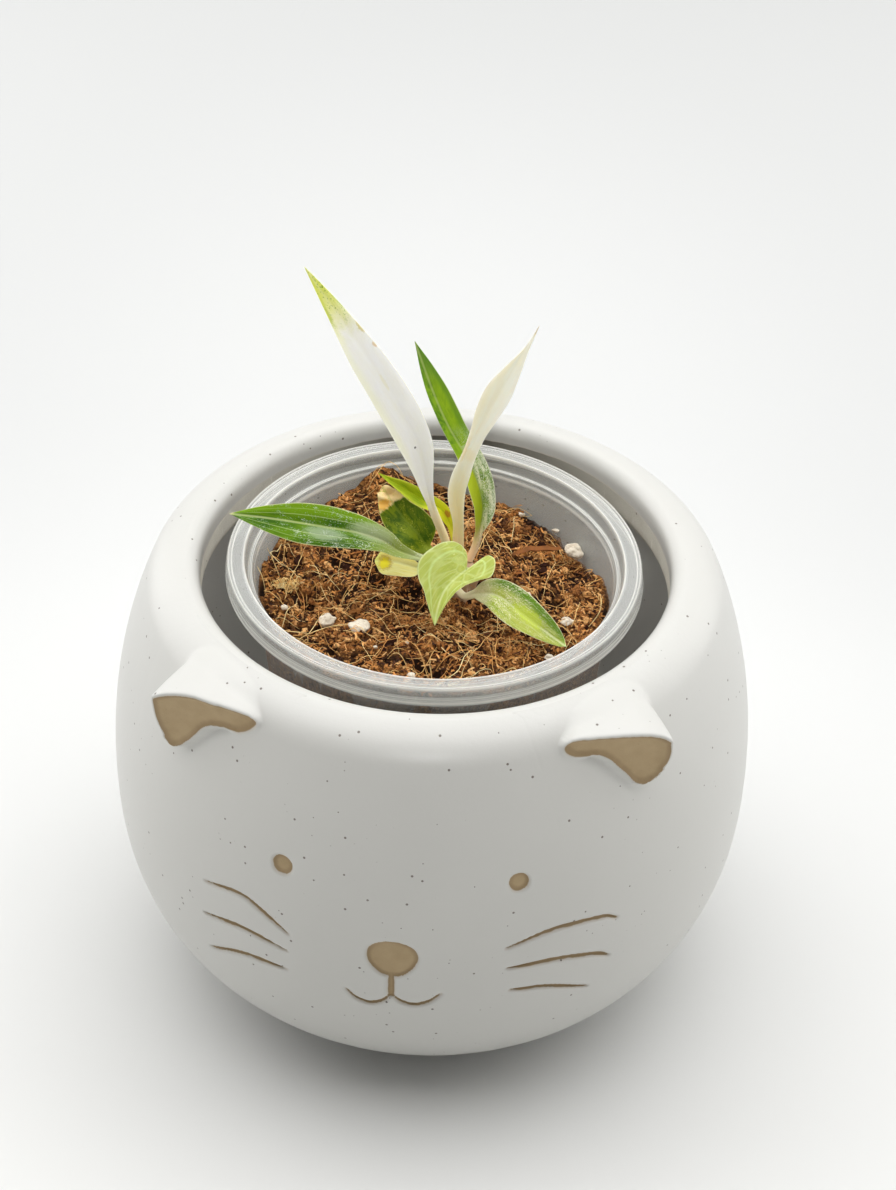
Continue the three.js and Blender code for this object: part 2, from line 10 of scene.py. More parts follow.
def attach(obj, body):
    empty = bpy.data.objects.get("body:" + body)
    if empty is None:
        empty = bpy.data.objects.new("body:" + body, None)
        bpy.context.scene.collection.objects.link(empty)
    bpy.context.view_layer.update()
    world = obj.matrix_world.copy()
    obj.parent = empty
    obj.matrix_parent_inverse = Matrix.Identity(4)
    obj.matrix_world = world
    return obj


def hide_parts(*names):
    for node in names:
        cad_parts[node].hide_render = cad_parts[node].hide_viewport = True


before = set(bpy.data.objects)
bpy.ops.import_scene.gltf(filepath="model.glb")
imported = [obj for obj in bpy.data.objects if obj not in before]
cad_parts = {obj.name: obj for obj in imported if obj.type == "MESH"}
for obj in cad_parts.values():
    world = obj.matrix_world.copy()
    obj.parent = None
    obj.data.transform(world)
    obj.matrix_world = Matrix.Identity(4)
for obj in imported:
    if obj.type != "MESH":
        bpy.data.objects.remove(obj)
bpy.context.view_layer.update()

mm = 0.001  # every size below is in millimetres, and the scene is in metres
bpy.ops.object.select_all(action="DESELECT")


# Camera: level with nothing, it looks down on the rim from the front, turned a little to the right and tilted
camera = {"place": (34.93, -381.46, 399.91), "azimuth": 4.8, "elevation": 38.38, "roll": 1.54, "lens": 66.55}
azimuth, elevation = math.radians(camera["azimuth"]), math.radians(camera["elevation"])
backwards = Vector((
    math.sin(azimuth) * math.cos(elevation),
    -math.cos(azimuth) * math.cos(elevation),
    math.sin(elevation),
))
bpy.ops.object.camera_add(location=Vector(camera["place"]) * mm)
eye = bpy.context.object
eye.name = "eye"
turn = backwards.to_track_quat("Z", "Y") @ Quaternion((0, 0, 1), math.radians(camera["roll"]))
eye.rotation_mode = "QUATERNION"
eye.rotation_quaternion = turn
eye.data.lens = camera["lens"]
eye.data.sensor_width = 36
eye.data.clip_start = 0.01
bpy.context.scene.camera = eye
print("camera set")


# Helpers for shaping
def only(piece):
    bpy.ops.object.select_all(action="DESELECT")
    piece.select_set(True)
    bpy.context.view_layer.objects.active = piece
    return piece


# The new object that one of Blender's own steps adds
def added(step, **settings):
    bpy.ops.object.select_all(action="DESELECT")
    step(**settings)
    return bpy.context.object


def meshed(name, corners, faces):
    mesh = bpy.data.meshes.new(name)
    mesh.from_pydata(corners, [], faces)
    piece = bpy.data.objects.new(name, mesh)
    bpy.context.scene.collection.objects.link(piece)
    return piece


# Opens a piece for steps on its mesh, with all of it picked
@contextmanager
def editing(piece):
    only(piece)
    bpy.ops.object.mode_set(mode="EDIT")
    bpy.ops.mesh.select_all(action="SELECT")
    yield
    bpy.ops.object.mode_set(mode="OBJECT")


def pickOpenEdges():
    bpy.ops.mesh.select_all(action="DESELECT")
    bpy.ops.mesh.select_non_manifold()


def capPickedEdges():
    bpy.ops.mesh.edge_face_add()
    bpy.ops.mesh.select_all(action="SELECT")
    bpy.ops.mesh.normals_make_consistent(inside=False)


def applied(piece, kind, **settings):
    only(piece)
    modifier = piece.modifiers.new(kind, kind)
    for name, value in settings.items():
        setattr(modifier, name, value)
    bpy.ops.object.modifier_apply(modifier=modifier.name)
    return piece


def settled(piece):
    only(piece)
    bpy.ops.object.transform_apply(location=True, rotation=True, scale=True)
    return piece


def tidied(piece, doubles=0.00001):
    with editing(piece):
        bpy.ops.mesh.remove_doubles(threshold=doubles)
        bpy.ops.mesh.normals_make_consistent(inside=False)
    return piece


def smoothed(piece, angle):
    only(piece)
    bpy.ops.object.shade_smooth_by_angle(angle=math.radians(angle))
    return piece


def joined(name, pieces):
    only(pieces[0])
    for piece in pieces:
        piece.select_set(True)
    if len(pieces) > 1:
        bpy.ops.object.join()
    pieces[0].name = name
    return pieces[0]


def placed(piece, name, slot, *nodes):
    piece.name = piece.data.name = name
    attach(piece, "root")
    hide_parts(*nodes)
    return piece


# The corners of a piece, in millimetres
def points(piece):
    flat = np.empty(len(piece.data.vertices) * 3)
    piece.data.vertices.foreach_get("co", flat)
    return flat.reshape(-1, 3) / mm


def movePoints(piece, spots):
    piece.data.vertices.foreach_set("co", (np.asarray(spots) * mm).ravel())
    piece.data.update()


# Keeps one value or one vector per corner, for a material to read
def paint(piece, name, values):
    values = np.asarray(values, float)
    kind = "FLOAT" if values.ndim == 1 else "FLOAT_VECTOR"
    layer = piece.data.attributes.new(name, kind, "POINT")
    layer.data.foreach_set("value" if kind == "FLOAT" else "vector", values.ravel())


def ramp(low, high, value):
    t = np.clip((value - low) / (high - low), 0, 1)
    return t * t * (3 - 2 * t)


def smoothMax(first, second, size):
    blend = np.clip(0.5 + 0.5 * (first - second) / size, 0, 1)
    return second + (first - second) * blend + size * blend * (1 - blend)


def smoothMin(first, second, size):
    return -smoothMax(-first, -second, size)


def unit(vector):
    return vector / np.linalg.norm(vector)


# A smooth line through the spots, sampled evenly between them
def curveThrough(spots, count):
    spots = np.asarray(spots, float)
    padded = np.vstack([2 * spots[0] - spots[1], spots, 2 * spots[-1] - spots[-2]])
    place = np.linspace(0, len(spots) - 1, count)
    i = np.minimum(place.astype(int), len(spots) - 2)
    f = (place - i)[:, None]
    a, b, c, d = padded[i], padded[i + 1], padded[i + 2], padded[i + 3]
    return 0.5 * (2 * b + f * (c - a + f * (2 * a - 5 * b + 4 * c - d + f * (3 * (b - c) + d - a))))


# The value at a share of the way along a row of evenly spread values
def along(values, share):
    fine = curveThrough(np.asarray(values, float)[:, None], 200)[:, 0]
    return np.interp(share, np.linspace(0, 1, 200), fine)


# Spins a profile of (radius, height) round an upright axis, from that many degrees before the front. The arcs are
# (degrees, steps).
def spun(profile, arcs, before=0, centre=(0, 0)):
    start = (centre[0] * mm, (centre[1] - profile[0][0]) * mm, profile[0][1] * mm)
    piece = settled(added(bpy.ops.mesh.primitive_plane_add, size=mm, location=start))
    axis = (centre[0] * mm, centre[1] * mm, 0)
    with editing(piece):
        bpy.ops.mesh.merge(type="CENTER")
        for (radius, height), (further, higher) in zip(profile, profile[1:]):
            step = (0, (radius - further) * mm, (higher - height) * mm)
            bpy.ops.mesh.extrude_region_move(TRANSFORM_OT_translate={"value": step})
        bpy.ops.mesh.select_all(action="SELECT")
        bpy.ops.transform.rotate(value=-math.radians(before), orient_axis="Z", center_override=axis)
        for degrees, steps in arcs:
            bpy.ops.mesh.spin(steps=steps, angle=math.radians(degrees), center=axis, axis=(0, 0, 1))
    return tidied(piece)


# Helpers for materials. A socket knows its own tree, so only the ones that start from nothing are told it.
def material(name):
    made = bpy.data.materials.new(name)
    made.use_nodes = True
    return made, made.node_tree


def node(tree, kind, **settings):
    made = tree.nodes.new(kind)
    for name, value in settings.items():
        if name in made.inputs:
            made.inputs[name].default_value = value
        else:
            setattr(made, name, value)
    return made


def link(source, target):
    source.id_data.links.new(source, target)


# Gives a socket another one's output, a number or a colour
def feed(socket, value):
    if isinstance(value, bpy.types.NodeSocket):
        link(value, socket)
    else:
        socket.default_value = (*value, 1) if socket.type == "RGBA" else value


def surface(tree, settings):
    for name, value in settings.items():
        feed(tree.nodes["Principled BSDF"].inputs[name], value)


def maths(operation, first, second=0, clamp=False):
    made = node(first.id_data, "ShaderNodeMath", operation=operation, use_clamp=clamp)
    feed(made.inputs[0], first)
    feed(made.inputs[1], second)
    return made.outputs[0]


def times(first, second, clamp=False):
    return maths("MULTIPLY", first, second, clamp)


def plus(first, second, clamp=False):
    return maths("ADD", first, second, clamp)


def minus(first, second):
    return maths("SUBTRACT", first, second)


def absolute(value):
    return maths("ABSOLUTE", value)


def mixed(factor, first, second):
    made = node(factor.id_data, "ShaderNodeMix", data_type="RGBA")
    for place, value in ((0, factor), (6, first), (7, second)):
        feed(made.inputs[place], value)
    return made.outputs[2]


# Carries a value smoothly from one span to another
def between(value, low, high, lowTo=0.0, highTo=1.0):
    made = node(value.id_data, "ShaderNodeMapRange", interpolation_type="SMOOTHSTEP")
    for socket, number in zip(made.inputs, (value, low, high, lowTo, highTo)):
        feed(socket, number)
    return made.outputs["Result"]


def attribute(tree, name, output="Fac"):
    return node(tree, "ShaderNodeAttribute", attribute_name=name).outputs[output]


def objectSpot(tree, stretch=(1, 1, 1)):
    mapping = node(tree, "ShaderNodeMapping", Scale=stretch)
    link(node(tree, "ShaderNodeTexCoord").outputs["Object"], mapping.inputs["Vector"])
    return mapping.outputs["Vector"]


def cloud(spot, scale, detail=4.0, rough=0.55, twist=0.0):
    made = node(spot.id_data, "ShaderNodeTexNoise", Scale=scale, Detail=detail, Roughness=rough, Distortion=twist)
    link(spot, made.inputs["Vector"])
    return made.outputs["Fac"]


def bumped(height, distance, strength=1.0):
    made = node(height.id_data, "ShaderNodeBump", Strength=strength, Distance=distance)
    link(height, made.inputs["Height"])
    surface(height.id_data, {"Normal": made.outputs["Normal"]})


# A node group. An input is (name, value), where no value makes it a vector, and every output is a number.
def group(name, inputs, outputs):
    tree = bpy.data.node_groups.new(name, "ShaderNodeTree")
    for label, value in inputs:
        kind = "NodeSocketVector" if value is None else "NodeSocketFloat"
        socket = tree.interface.new_socket(name=label, in_out="INPUT", socket_type=kind)
        if value is not None:
            socket.default_value = value
    for label in outputs:
        tree.interface.new_socket(name=label, in_out="OUTPUT", socket_type="NodeSocketFloat")
    return tree, tree.nodes.new("NodeGroupInput").outputs, tree.nodes.new("NodeGroupOutput").inputs


def grouped(tree, name, links, **values):
    made = node(tree, "ShaderNodeGroup")
    made.node_tree = bpy.data.node_groups[name]
    for label, value in (links | values).items():
        feed(made.inputs[label], value)
    return made.outputs


# Small dark grains sunk in a surface: a mask of dots, each of its own size
def makeSpecks():
    tree, given, out = group("specks", [("Spot", None), ("Scale", 200.0), ("Size", 0.05)], ["Mask"])
    cells = node(tree, "ShaderNodeTexVoronoi")
    link(given["Spot"], cells.inputs["Vector"])
    link(given["Scale"], cells.inputs["Scale"])
    softness = 60
    link(times(minus(given["Size"], cells.outputs["Distance"]), softness, clamp=True), out["Mask"])


# Soft uneven tone and fine tooth for a fired or moulded surface
def makeTone():
    tree, given, out = group("tone", [("Spot", None), ("Broad", 30.0), ("Fine", 900.0)], ["Tone", "Tooth"])
    for label, scale, detail in (("Tone", "Broad", 3), ("Tooth", "Fine", 5)):
        made = node(tree, "ShaderNodeTexNoise", Detail=detail)
        link(given["Spot"], made.inputs["Vector"])
        link(given[scale], made.inputs["Scale"])
        link(made.outputs["Fac"], out[label])


makeSpecks()
makeTone()


# The pot
pot = {
    "belly": 73.1, "bellyHeight": 52.5, "lowerReach": 60.7, "lowerPower": 2.4, "upperReach": 96.2, "upperPower": 2.07,
    "height": 108.5, "opening": 51.6, "lipRound": 3.0, "lipSlope": 0.34, "lipBend": 3.2, "wall": 6.0,
    "faceSide": 41.0, "faceSteps": 205, "backSteps": 125,
    "glazeEnd": 103.4, "glazeWave": 0.6, "carve": 0.75, "edge": 0.32,
    "eyes": [(-19.8, 76.0, 2.3), (20.3, 76.6, 2.15)],
    "nose": (-0.5, 57.0, 5.4, 5.1),
    "strokes": [
        (1.35, 0.9, [(-0.6, 52.5), (-0.6, 49.5), (-0.6, 46.2)]),
        (0.95, 0.35, [(-8.2, 46.1), (-6.8, 43.9), (-4.4, 42.8), (-2.1, 43.9), (-0.7, 46.3)]),
        (0.95, 0.35, [(-0.5, 46.3), (1.0, 44.4), (3.2, 43.5), (5.8, 44.7), (7.7, 47.3)]),
        (1.05, 0.3, [(-35.5, 61.3), (-28.2, 63.5), (-23.5, 61.9), (-18.3, 58.0)]),
        (1.05, 0.3, [(-35.9, 51.5), (-27.1, 54.0), (-18.6, 52.8)]),
        (1.05, 0.3, [(-35.3, 41.0), (-27.1, 45.9), (-18.7, 46.9)]),
        (1.05, 0.3, [(18.2, 59.5), (26.3, 62.2), (34.9, 61.2), (38.5, 59.0)]),
        (1.15, 0.35, [(18.6, 53.5), (27.1, 53.1), (34.3, 50.6), (37.4, 48.2)]),
        (1.05, 0.3, [(19.2, 46.5), (25.7, 45.1), (33.7, 40.4)]),
    ],
}


def bodyRadius(height):
    height = np.asarray(height, float)
    upper = height > pot["bellyHeight"]
    reach = np.where(upper, pot["upperReach"], pot["lowerReach"])
    power = np.where(upper, pot["upperPower"], pot["lowerPower"])
    share = np.clip(np.abs(height - pot["bellyHeight"]) / reach, 0, 0.999)
    return pot["belly"] * (1 - share ** power) ** (1 / power)


# How far outside the body's rounded side and its lip a spot at this radius and height lies
def bodyGap(radius, height):
    slope = (bodyRadius(height + 0.2) - bodyRadius(height - 0.2)) / 0.4
    side = (radius - bodyRadius(height)) / np.hypot(1, slope)
    lip = (height - pot["height"] + pot["lipSlope"] * (radius - pot["opening"] - pot["lipRound"] - 0.6))
    return smoothMax(side, lip / math.hypot(1, pot["lipSlope"]), pot["lipBend"])


def potProfile():
    top, opening, lipRound = pot["height"], pot["opening"], pot["lipRound"]
    heights = [0.9, 1.8, 3, 5, 7.5, 10, 13, 16, 19.5, 23, 27, 31, 35, 37.5]
    heights += list(np.arange(39, 66.1, 0.45)) + [67.5, 69.5, 71.5] + list(np.arange(73, 79.7, 0.45))
    heights += [81.5, 83.5, 85.5, 87.5, 89.5, 91.5, 93.5, 95, 96.5, 98, 99.2]
    outside = [(float(bodyRadius(height)), float(height)) for height in heights]
    turns = np.radians(np.arange(19, 65, 2.0))
    reach = np.full(len(turns), 25.0)
    for _ in range(80):
        reach -= 0.8 * bodyGap(50 + reach * np.cos(turns), 95 + reach * np.sin(turns))
    lip = [(50 + r * math.cos(t), 95 + r * math.sin(t)) for r, t in zip(reach, turns)]
    lip = [spot for spot in lip if spot[0] > opening + lipRound + 1.4]
    lip += [(opening + lipRound + 0.9, top - 0.14), (opening + lipRound, top)]
    for degrees in (15, 30, 45, 60, 75, 90):
        bend = math.radians(degrees)
        lip.append((opening + lipRound * (1 - math.sin(bend)), top - lipRound * (1 - math.cos(bend))))
    inside = [(opening, height) for height in (104.6, 104.1, 103.6, 103.1, 102.6, 102, 100, 98.6)]
    for height in (97.5, 94, 88, 80, 70, 60, 50, 40, 30, 22, 15, 11):
        inside.append((float(bodyRadius(height)) - pot["wall"] - max(0, 16 - height), height))
    inside[8] = (51.9, 97.5)
    foot = [(0, 1.5), (20, 1.5), (33.5, 1.5), (34.6, 1.2), (35.4, 0.3), (36, 0), (42.2, 0), (43.2, 0.3)]
    return foot + outside + lip + inside + [(38, 8.6), (36.5, 8), (18, 8), (0, 8)]


# How far inside a stroke of the face each spot lies, and how deep it is cut there
def faceDepth(spots):
    angle = np.arctan2(spots[:, 0], -spots[:, 1])
    radius = np.hypot(spots[:, 0], spots[:, 1])
    across, up = angle * radius, spots[:, 2]
    inside = np.full(len(spots), -9.0)
    for degrees, height, size in pot["eyes"]:
        inside = np.maximum(inside, size - np.hypot(across - math.radians(degrees) * radius, up - height))
    degrees, height, half, tall = pot["nose"]
    x, z = across - math.radians(degrees) * radius, up - height
    widthHere = half * (1 + 0.035 * z)  # an egg, broader above
    inside = np.maximum(inside, (1 - np.hypot(x / widthHere, z / tall)) * half)
    for width, tip, path in pot["strokes"]:
        line = curveThrough(path, 40)
        spine = np.column_stack([np.radians(line[:, 0]) * bodyRadius(line[:, 1]), line[:, 1]])
        best = np.full(len(spots), -9.0)
        near = (np.abs(across - spine[:, 0].mean()) < 25) & (np.abs(up - spine[:, 1].mean()) < 15)
        for i in range(len(spine) - 1):
            a, b = spine[i], spine[i + 1]
            step = b - a
            t = ((across[near] - a[0]) * step[0] + (up[near] - a[1]) * step[1]) / (step @ step)
            t = np.clip(t, 0, 1)
            gap = np.hypot(across[near] - a[0] - t * step[0], up[near] - a[1] - t * step[1])
            share = (i + t) / (len(spine) - 1)
            half = 0.5 * width * (tip + (1 - tip) * np.minimum(1, 3.2 * np.minimum(share, 1 - share)) ** 0.7)
            best[near] = np.maximum(best[near], half - gap)
        inside = np.maximum(inside, best)
    return inside


def makeBody():
    side, whole = pot["faceSide"], 360 - 2 * pot["faceSide"]
    body = spun(potProfile(), [(2 * side, pot["faceSteps"]), (whole, pot["backSteps"])], side)
    spots = points(body)
    radius = np.hypot(spots[:, 0], spots[:, 1])
    outside = radius > np.where(spots[:, 2] > 20, 54, 50)
    clay = faceDepth(spots)
    clay[~outside | (spots[:, 1] > 0)] = -9
    sunk = pot["carve"] * ramp(-pot["edge"], pot["edge"], clay)
    away = spots[:, :2] / np.maximum(radius, 1e-6)[:, None]
    spots[:, :2] -= away * sunk[:, None]
    angle = np.arctan2(spots[:, 0], -spots[:, 1])
    line = pot["glazeEnd"] + pot["glazeWave"] * (np.cos(2 * angle) + 0.2 * np.sin(7 * angle + 2.4))
    inner = (radius < 53) & (spots[:, 2] > 7)
    clay = np.where(inner, line - spots[:, 2], clay)
    clay = np.where((radius < 43.3) & (spots[:, 2] < 2), 3, clay)  # the foot is left bare
    movePoints(body, spots)
    paint(body, "clay", clay)
    # The inner wall's value runs from 0.5 at its front and back to 0.84 at its sides, which the finish turns into
    # painted shade and painted light
    paint(body, "inside", np.where(inner, 0.5 + 0.34 * np.abs(np.sin(angle)), 0.0))
    return body


# The ears: each is a cone that narrows back into the lip from a rounded front, hollowed there down to the clay.
# Its skin is found along lines out of a point in the pot's wall, and it dips under the body's surface all round.
ear = {
    "apex": (53.3, -50.2, 102.4), "lower": (48.4, -50.8, 91.2), "inner": (29.6, -56.1, 104.1),
    "vertex": (40.6, -35.8, 106.4),
    "outlines": {
        "right": [
            (24.3, -0.6), (21.9, -1.9), (18.1, -2.5), (9.9, -2.3), (3.9, -1.7), (2.1, -0.4), (2.6, 1.2), (4.6, 2.3),
            (6.8, 2.4), (9.2, 2.2), (12, 3.7), (15.6, 7.5), (18.4, 10.6), (20.3, 11.2), (21.7, 10.5), (22.8, 9.3),
            (23.9, 7.1), (24.5, 4.8), (24.7, 1.8),
        ],
        "left": [
            (24.2, -0.8), (21.5, -2.2), (18.7, -3), (15, -3.4), (9.8, -2.7), (4, -1.8), (1.4, -1), (0.8, 0),
            (1.8, 1.5), (4, 2.9), (5.8, 3.5), (8.9, 3.1), (12.6, 4), (15.5, 7.1), (17.9, 9.6), (20.1, 11.4),
            (21.6, 11.8), (22.6, 11), (23.5, 7.7), (24.1, 3.7),
        ],
    },
    "rim": 0.65, "hollow": 1.0, "edge": 1.1, "dome": 0.58, "join": 0.9, "backJoin": 2.0, "crest": 54.6,
    "centre": (20, -36, 92), "toward": (0.812, -0.463, 0.354), "grid": (150, 120), "span": (-0.95, 0.84, -0.80),
}


# Distance to a closed line, minus inside and plus outside
def outlineGap(spots, line):
    inside = np.zeros(len(spots), bool)
    best = np.full(len(spots), 1e9)
    for a, b in zip(line, np.roll(line, -1, axis=0)):
        step, offset = b - a, spots - a
        t = np.clip(offset @ step / (step @ step), 0, 1)
        best = np.minimum(best, ((offset - t[:, None] * step) ** 2).sum(1))
        crosses = (a[1] > spots[:, 1]) != (b[1] > spots[:, 1])
        inside ^= crosses & (offset[:, 0] < offset[:, 1] * step[0] / (step[1] if step[1] else 1e-9))
    return np.where(inside, -1, 1) * np.sqrt(best)


# The same distance, kept on a fine grid so that many spots can be asked for at once
def outlineField(line, low=-14.0, step=0.125, count=400):
    ticks = low + step * np.arange(count)
    across, down = np.meshgrid(ticks, ticks, indexing="ij")
    field = outlineGap(np.column_stack([across.ravel(), down.ravel()]), line).reshape(count, count)

    def gap(q, r):
        q, r = np.clip((q - low) / step, 0, count - 1.01), np.clip((r - low) / step, 0, count - 1.01)
        i, j = q.astype(int), r.astype(int)
        q, r = q - i, r - j
        near = field[i, j] * (1 - q) + field[i + 1, j] * q
        return near * (1 - r) + (field[i, j + 1] * (1 - q) + field[i + 1, j + 1] * q) * r

    return gap


def earShape(outline):
    apex, lower, inner, vertex = (np.array(ear[key]) for key in ("apex", "lower", "inner", "vertex"))
    front = unit(np.cross(apex - inner, lower - inner))
    front = -front if front[1] > 0 else front
    across = unit(apex - inner)
    down = np.cross(across, front)
    down = -down if down[2] > 0 else down
    closed = np.array(outline + outline[:1], float)
    hollowGap = outlineField(curveThrough(closed, 91)[:-1])
    far = (vertex - apex) @ front
    middle = (14.0, 2.5)
    drift = ((vertex - inner) @ across - middle[0], (vertex - inner) @ down - middle[1])

    # Where a spot falls on the front outline once the cone's narrowing is taken out, and how deep behind it lies
    def onFront(spots):
        offset = spots - inner
        depth = offset @ front
        share = np.clip(depth / far, -0.15, 0.98)
        narrow = (1 - share) ** ear["dome"]
        q = middle[0] + (offset @ across - middle[0] - share * drift[0]) / narrow
        r = middle[1] + (offset @ down - middle[1] - share * drift[1]) / narrow
        return hollowGap(q, r), depth, narrow

    def gap(spots, sink, fade):
        body = bodyGap(np.hypot(spots[:, 0], spots[:, 1]), spots[:, 2]) + sink
        outside, depth, narrow = onFront(spots)
        carved = depth + ear["hollow"] * ramp(0.1, -0.6, outside)
        shape = smoothMax(carved, (outside - ear["rim"]) * narrow, ear["edge"])
        back = ramp(-1.5, -8.0, depth) * ramp(0.15, 0.5, narrow)
        return smoothMin(body, shape, ear["join"] + (ear["backJoin"] - ear["join"]) * back * fade)

    def clay(spots):
        outside, depth, _ = onFront(spots)
        return np.where(depth > -ear["hollow"] - 0.35, -outside, -3)

    return gap, clay


def makeEar(side):
    gap, clay = earShape(ear["outlines"][side])
    columns, rows = ear["grid"]
    skin = added(bpy.ops.mesh.primitive_grid_add, x_subdivisions=columns, y_subdivisions=rows, size=2 * mm)
    share = (points(skin)[:, :2] + 1) / 2
    left, right, low = ear["span"]
    centre, toward = np.array(ear["centre"]), unit(np.array(ear["toward"]))
    sideways = unit(np.cross((0, 0, 1), toward))
    upward = np.cross(toward, sideways)
    turns = np.radians(np.arange(14, 80, 1.5))  # the skin ends along the crest of the lip
    height = np.full(len(turns), pot["height"] - 0.1)
    crest = np.column_stack([ear["crest"] * np.sin(turns), -ear["crest"] * np.cos(turns), height]) - centre
    flat = left + share[:, 0] * (right - left)
    high = np.interp(flat, crest @ sideways / (crest @ toward), crest @ upward / (crest @ toward))
    rays = toward + np.outer(flat, sideways) + np.outer(low + share[:, 1] * (high - low), upward)
    rays /= np.linalg.norm(rays, axis=1)[:, None]
    border = np.minimum.reduce([share[:, 0], 1 - share[:, 0], share[:, 1], 1.4 * (1 - share[:, 1])])
    sink = 0.08 * ramp(0.12, 0, border) - 0.02
    fade = ramp(0.02, 0.2, border)
    reach = np.full(len(rays), 55.0)
    for _ in range(90):
        reach -= 0.6 * gap(centre + reach[:, None] * rays, sink, fade)
    movePoints(skin, centre + reach[:, None] * rays)
    with editing(skin):
        bpy.ops.mesh.vertices_smooth(factor=0.5, repeat=2)
    spots = points(skin)
    bare = clay(spots)
    flip = np.array((-1 if side == "left" else 1, 1, 1))
    movePoints(skin, spots * flip)
    paint(skin, "clay", bare)
    with editing(skin):
        pickOpenEdges()
        bpy.ops.mesh.extrude_region_move()
        bpy.ops.transform.resize(value=(0.94, 0.94, 0.94), center_override=tuple(centre * flip * mm))
        capPickedEdges()
    return skin


def makeGlaze():
    made, tree = material("speckled white glaze and bare clay")
    spot = objectSpot(tree)
    tone = grouped(tree, "tone", {"Spot": spot}, Broad=22.0, Fine=700.0)
    grain = grouped(tree, "tone", {"Spot": spot}, Broad=260.0, Fine=2600.0)
    large = grouped(tree, "specks", {"Spot": spot}, Scale=240.0, Size=0.076)["Mask"]
    small = grouped(tree, "specks", {"Spot": spot}, Scale=400.0, Size=0.07)["Mask"]
    patchy = between(cloud(spot, 45, 2), 0.5, 0.62)
    dots = maths("MAXIMUM", large, times(small, patchy))
    wander = times(minus(grain["Tone"], 0.5), 0.5)
    clay = plus(attribute(tree, "clay"), wander)
    bare = between(clay, -0.07, 0.09)
    thin = between(clay, -0.45, 0.0, 0.0, 0.35)  # the glaze thins and browns at its edge
    white = mixed(tone["Tone"], (0.565, 0.56, 0.53), (0.615, 0.61, 0.58))
    white = mixed(thin, white, (0.52, 0.42, 0.30))
    white = mixed(times(dots, 0.85), white, (0.10, 0.07, 0.05))
    fired = mixed(grain["Tone"], (0.39, 0.285, 0.155), (0.52, 0.395, 0.235))
    fired = mixed(between(grain["Tooth"], 0.62, 0.75, 0, 0.4), fired, (0.30, 0.21, 0.12))
    # Painted shade: the bare clay is darkened along the edge of each carved hollow, where its wall shades it
    fired = mixed(between(clay, 0.0, 1.3, 0.55, 0), fired, (0.24, 0.165, 0.085))
    inside = attribute(tree, "inside")
    # Painted light and shade: the wash is pale where the inner wall faces sideways and dark at its front and back,
    # standing in for how light falls into the gap
    wash = mixed(between(inside, 0.5, 1.0), (0.14, 0.135, 0.11), (0.90, 0.87, 0.77))
    wash = mixed(between(grain["Tone"], 0.3, 0.7, 0.14, 0), wash, (0.3, 0.28, 0.24))
    scratches = cloud(objectSpot(tree, (1, 1, 0.12)), 520, 3, 0.5)
    wash = mixed(between(scratches, 0.66, 0.72, 0, 0.35), wash, (0.95, 0.93, 0.86))
    wash = mixed(times(dots, 0.8), wash, (0.12, 0.09, 0.06))
    fired = mixed(between(inside, 0.1, 0.4), fired, wash)
    surface(tree, {
        "Base Color": mixed(bare, white, fired), "Roughness": between(bare, 0, 1, 0.42, 0.9),
        "Coat Weight": between(bare, 0, 1, 0.25, 0.0), "Coat Roughness": 0.3,
    })
    height = times(grain["Tooth"], between(bare, 0, 1, 0.12, 1.0))
    height = plus(height, times(dots, -0.5))
    height = plus(height, times(tone["Tooth"], 0.25))
    bumped(height, 0.00012)
    return made


potPiece = joined("planter", [makeBody(), makeEar("right"), makeEar("left")])
smoothed(potPiece, 70)
potPiece.data.materials.append(makeGlaze())
placed(potPiece, "planter", "glaze", "pot")
print("pot made,", len(potPiece.data.polygons), "faces")


# The clear cup: a thin sheet with a stepped rim
cup = {
    "centre": (0, -2.0), "thickness": 0.5, "steps": 200, "lean": (-0.016, -0.008),  # it stands a little askew
    "wall": [
        (0, 8.9), (20, 8.9), (29.5, 8.9), (31.0, 9.3), (31.7, 10.4), (33.8, 35), (35.8, 62), (37.8, 88),
        (39.2, 103.0), (39.4, 104.0),
    ],
    # Each step of the rim from the inside out: its radius, its height and how milky the plastic is there, set high on
    # the beads and bends to paint their bright highlight lines
    "rim": [
        (39.4, 104.0, 0.08), (39.5, 104.5, 0.42), (39.62, 104.85, 0.5), (39.75, 105.2, 0.14), (39.95, 105.6, 0.16),
        (40.05, 105.75, 0.6), (40.2, 105.75, 0.2), (40.45, 105.9, 0.55), (40.65, 106.2, 0.16), (41.0, 107.0, 0.14),
        (41.3, 107.9, 0.18), (41.45, 108.3, 0.34), (41.6, 108.6, 0.68), (41.8, 108.55, 0.34), (42.2, 108.35, 0.23),
        (42.7, 108.3, 0.21), (43.6, 108.3, 0.22), (44.0, 108.35, 0.25), (44.2, 108.5, 0.58), (44.4, 108.4, 0.22),
        (44.65, 108.45, 0.25), (44.85, 108.6, 0.62), (45.0, 108.35, 0.28), (45.08, 107.7, 0.16), (45.15, 107.0, 0.16),
        (45.22, 106.6, 0.58), (45.28, 106.2, 0.2), (45.38, 105.7, 0.66), (45.4, 105.35, 0.5), (45.25, 105.0, 0.22),
    ],
    "wallMilk": 0.2, "leanTop": 108, "drop": (-41.2, 6.5, 108.62), "dropSize": 0.95, "dropThick": 0.22,
    "dropMilk": 0.62,
}


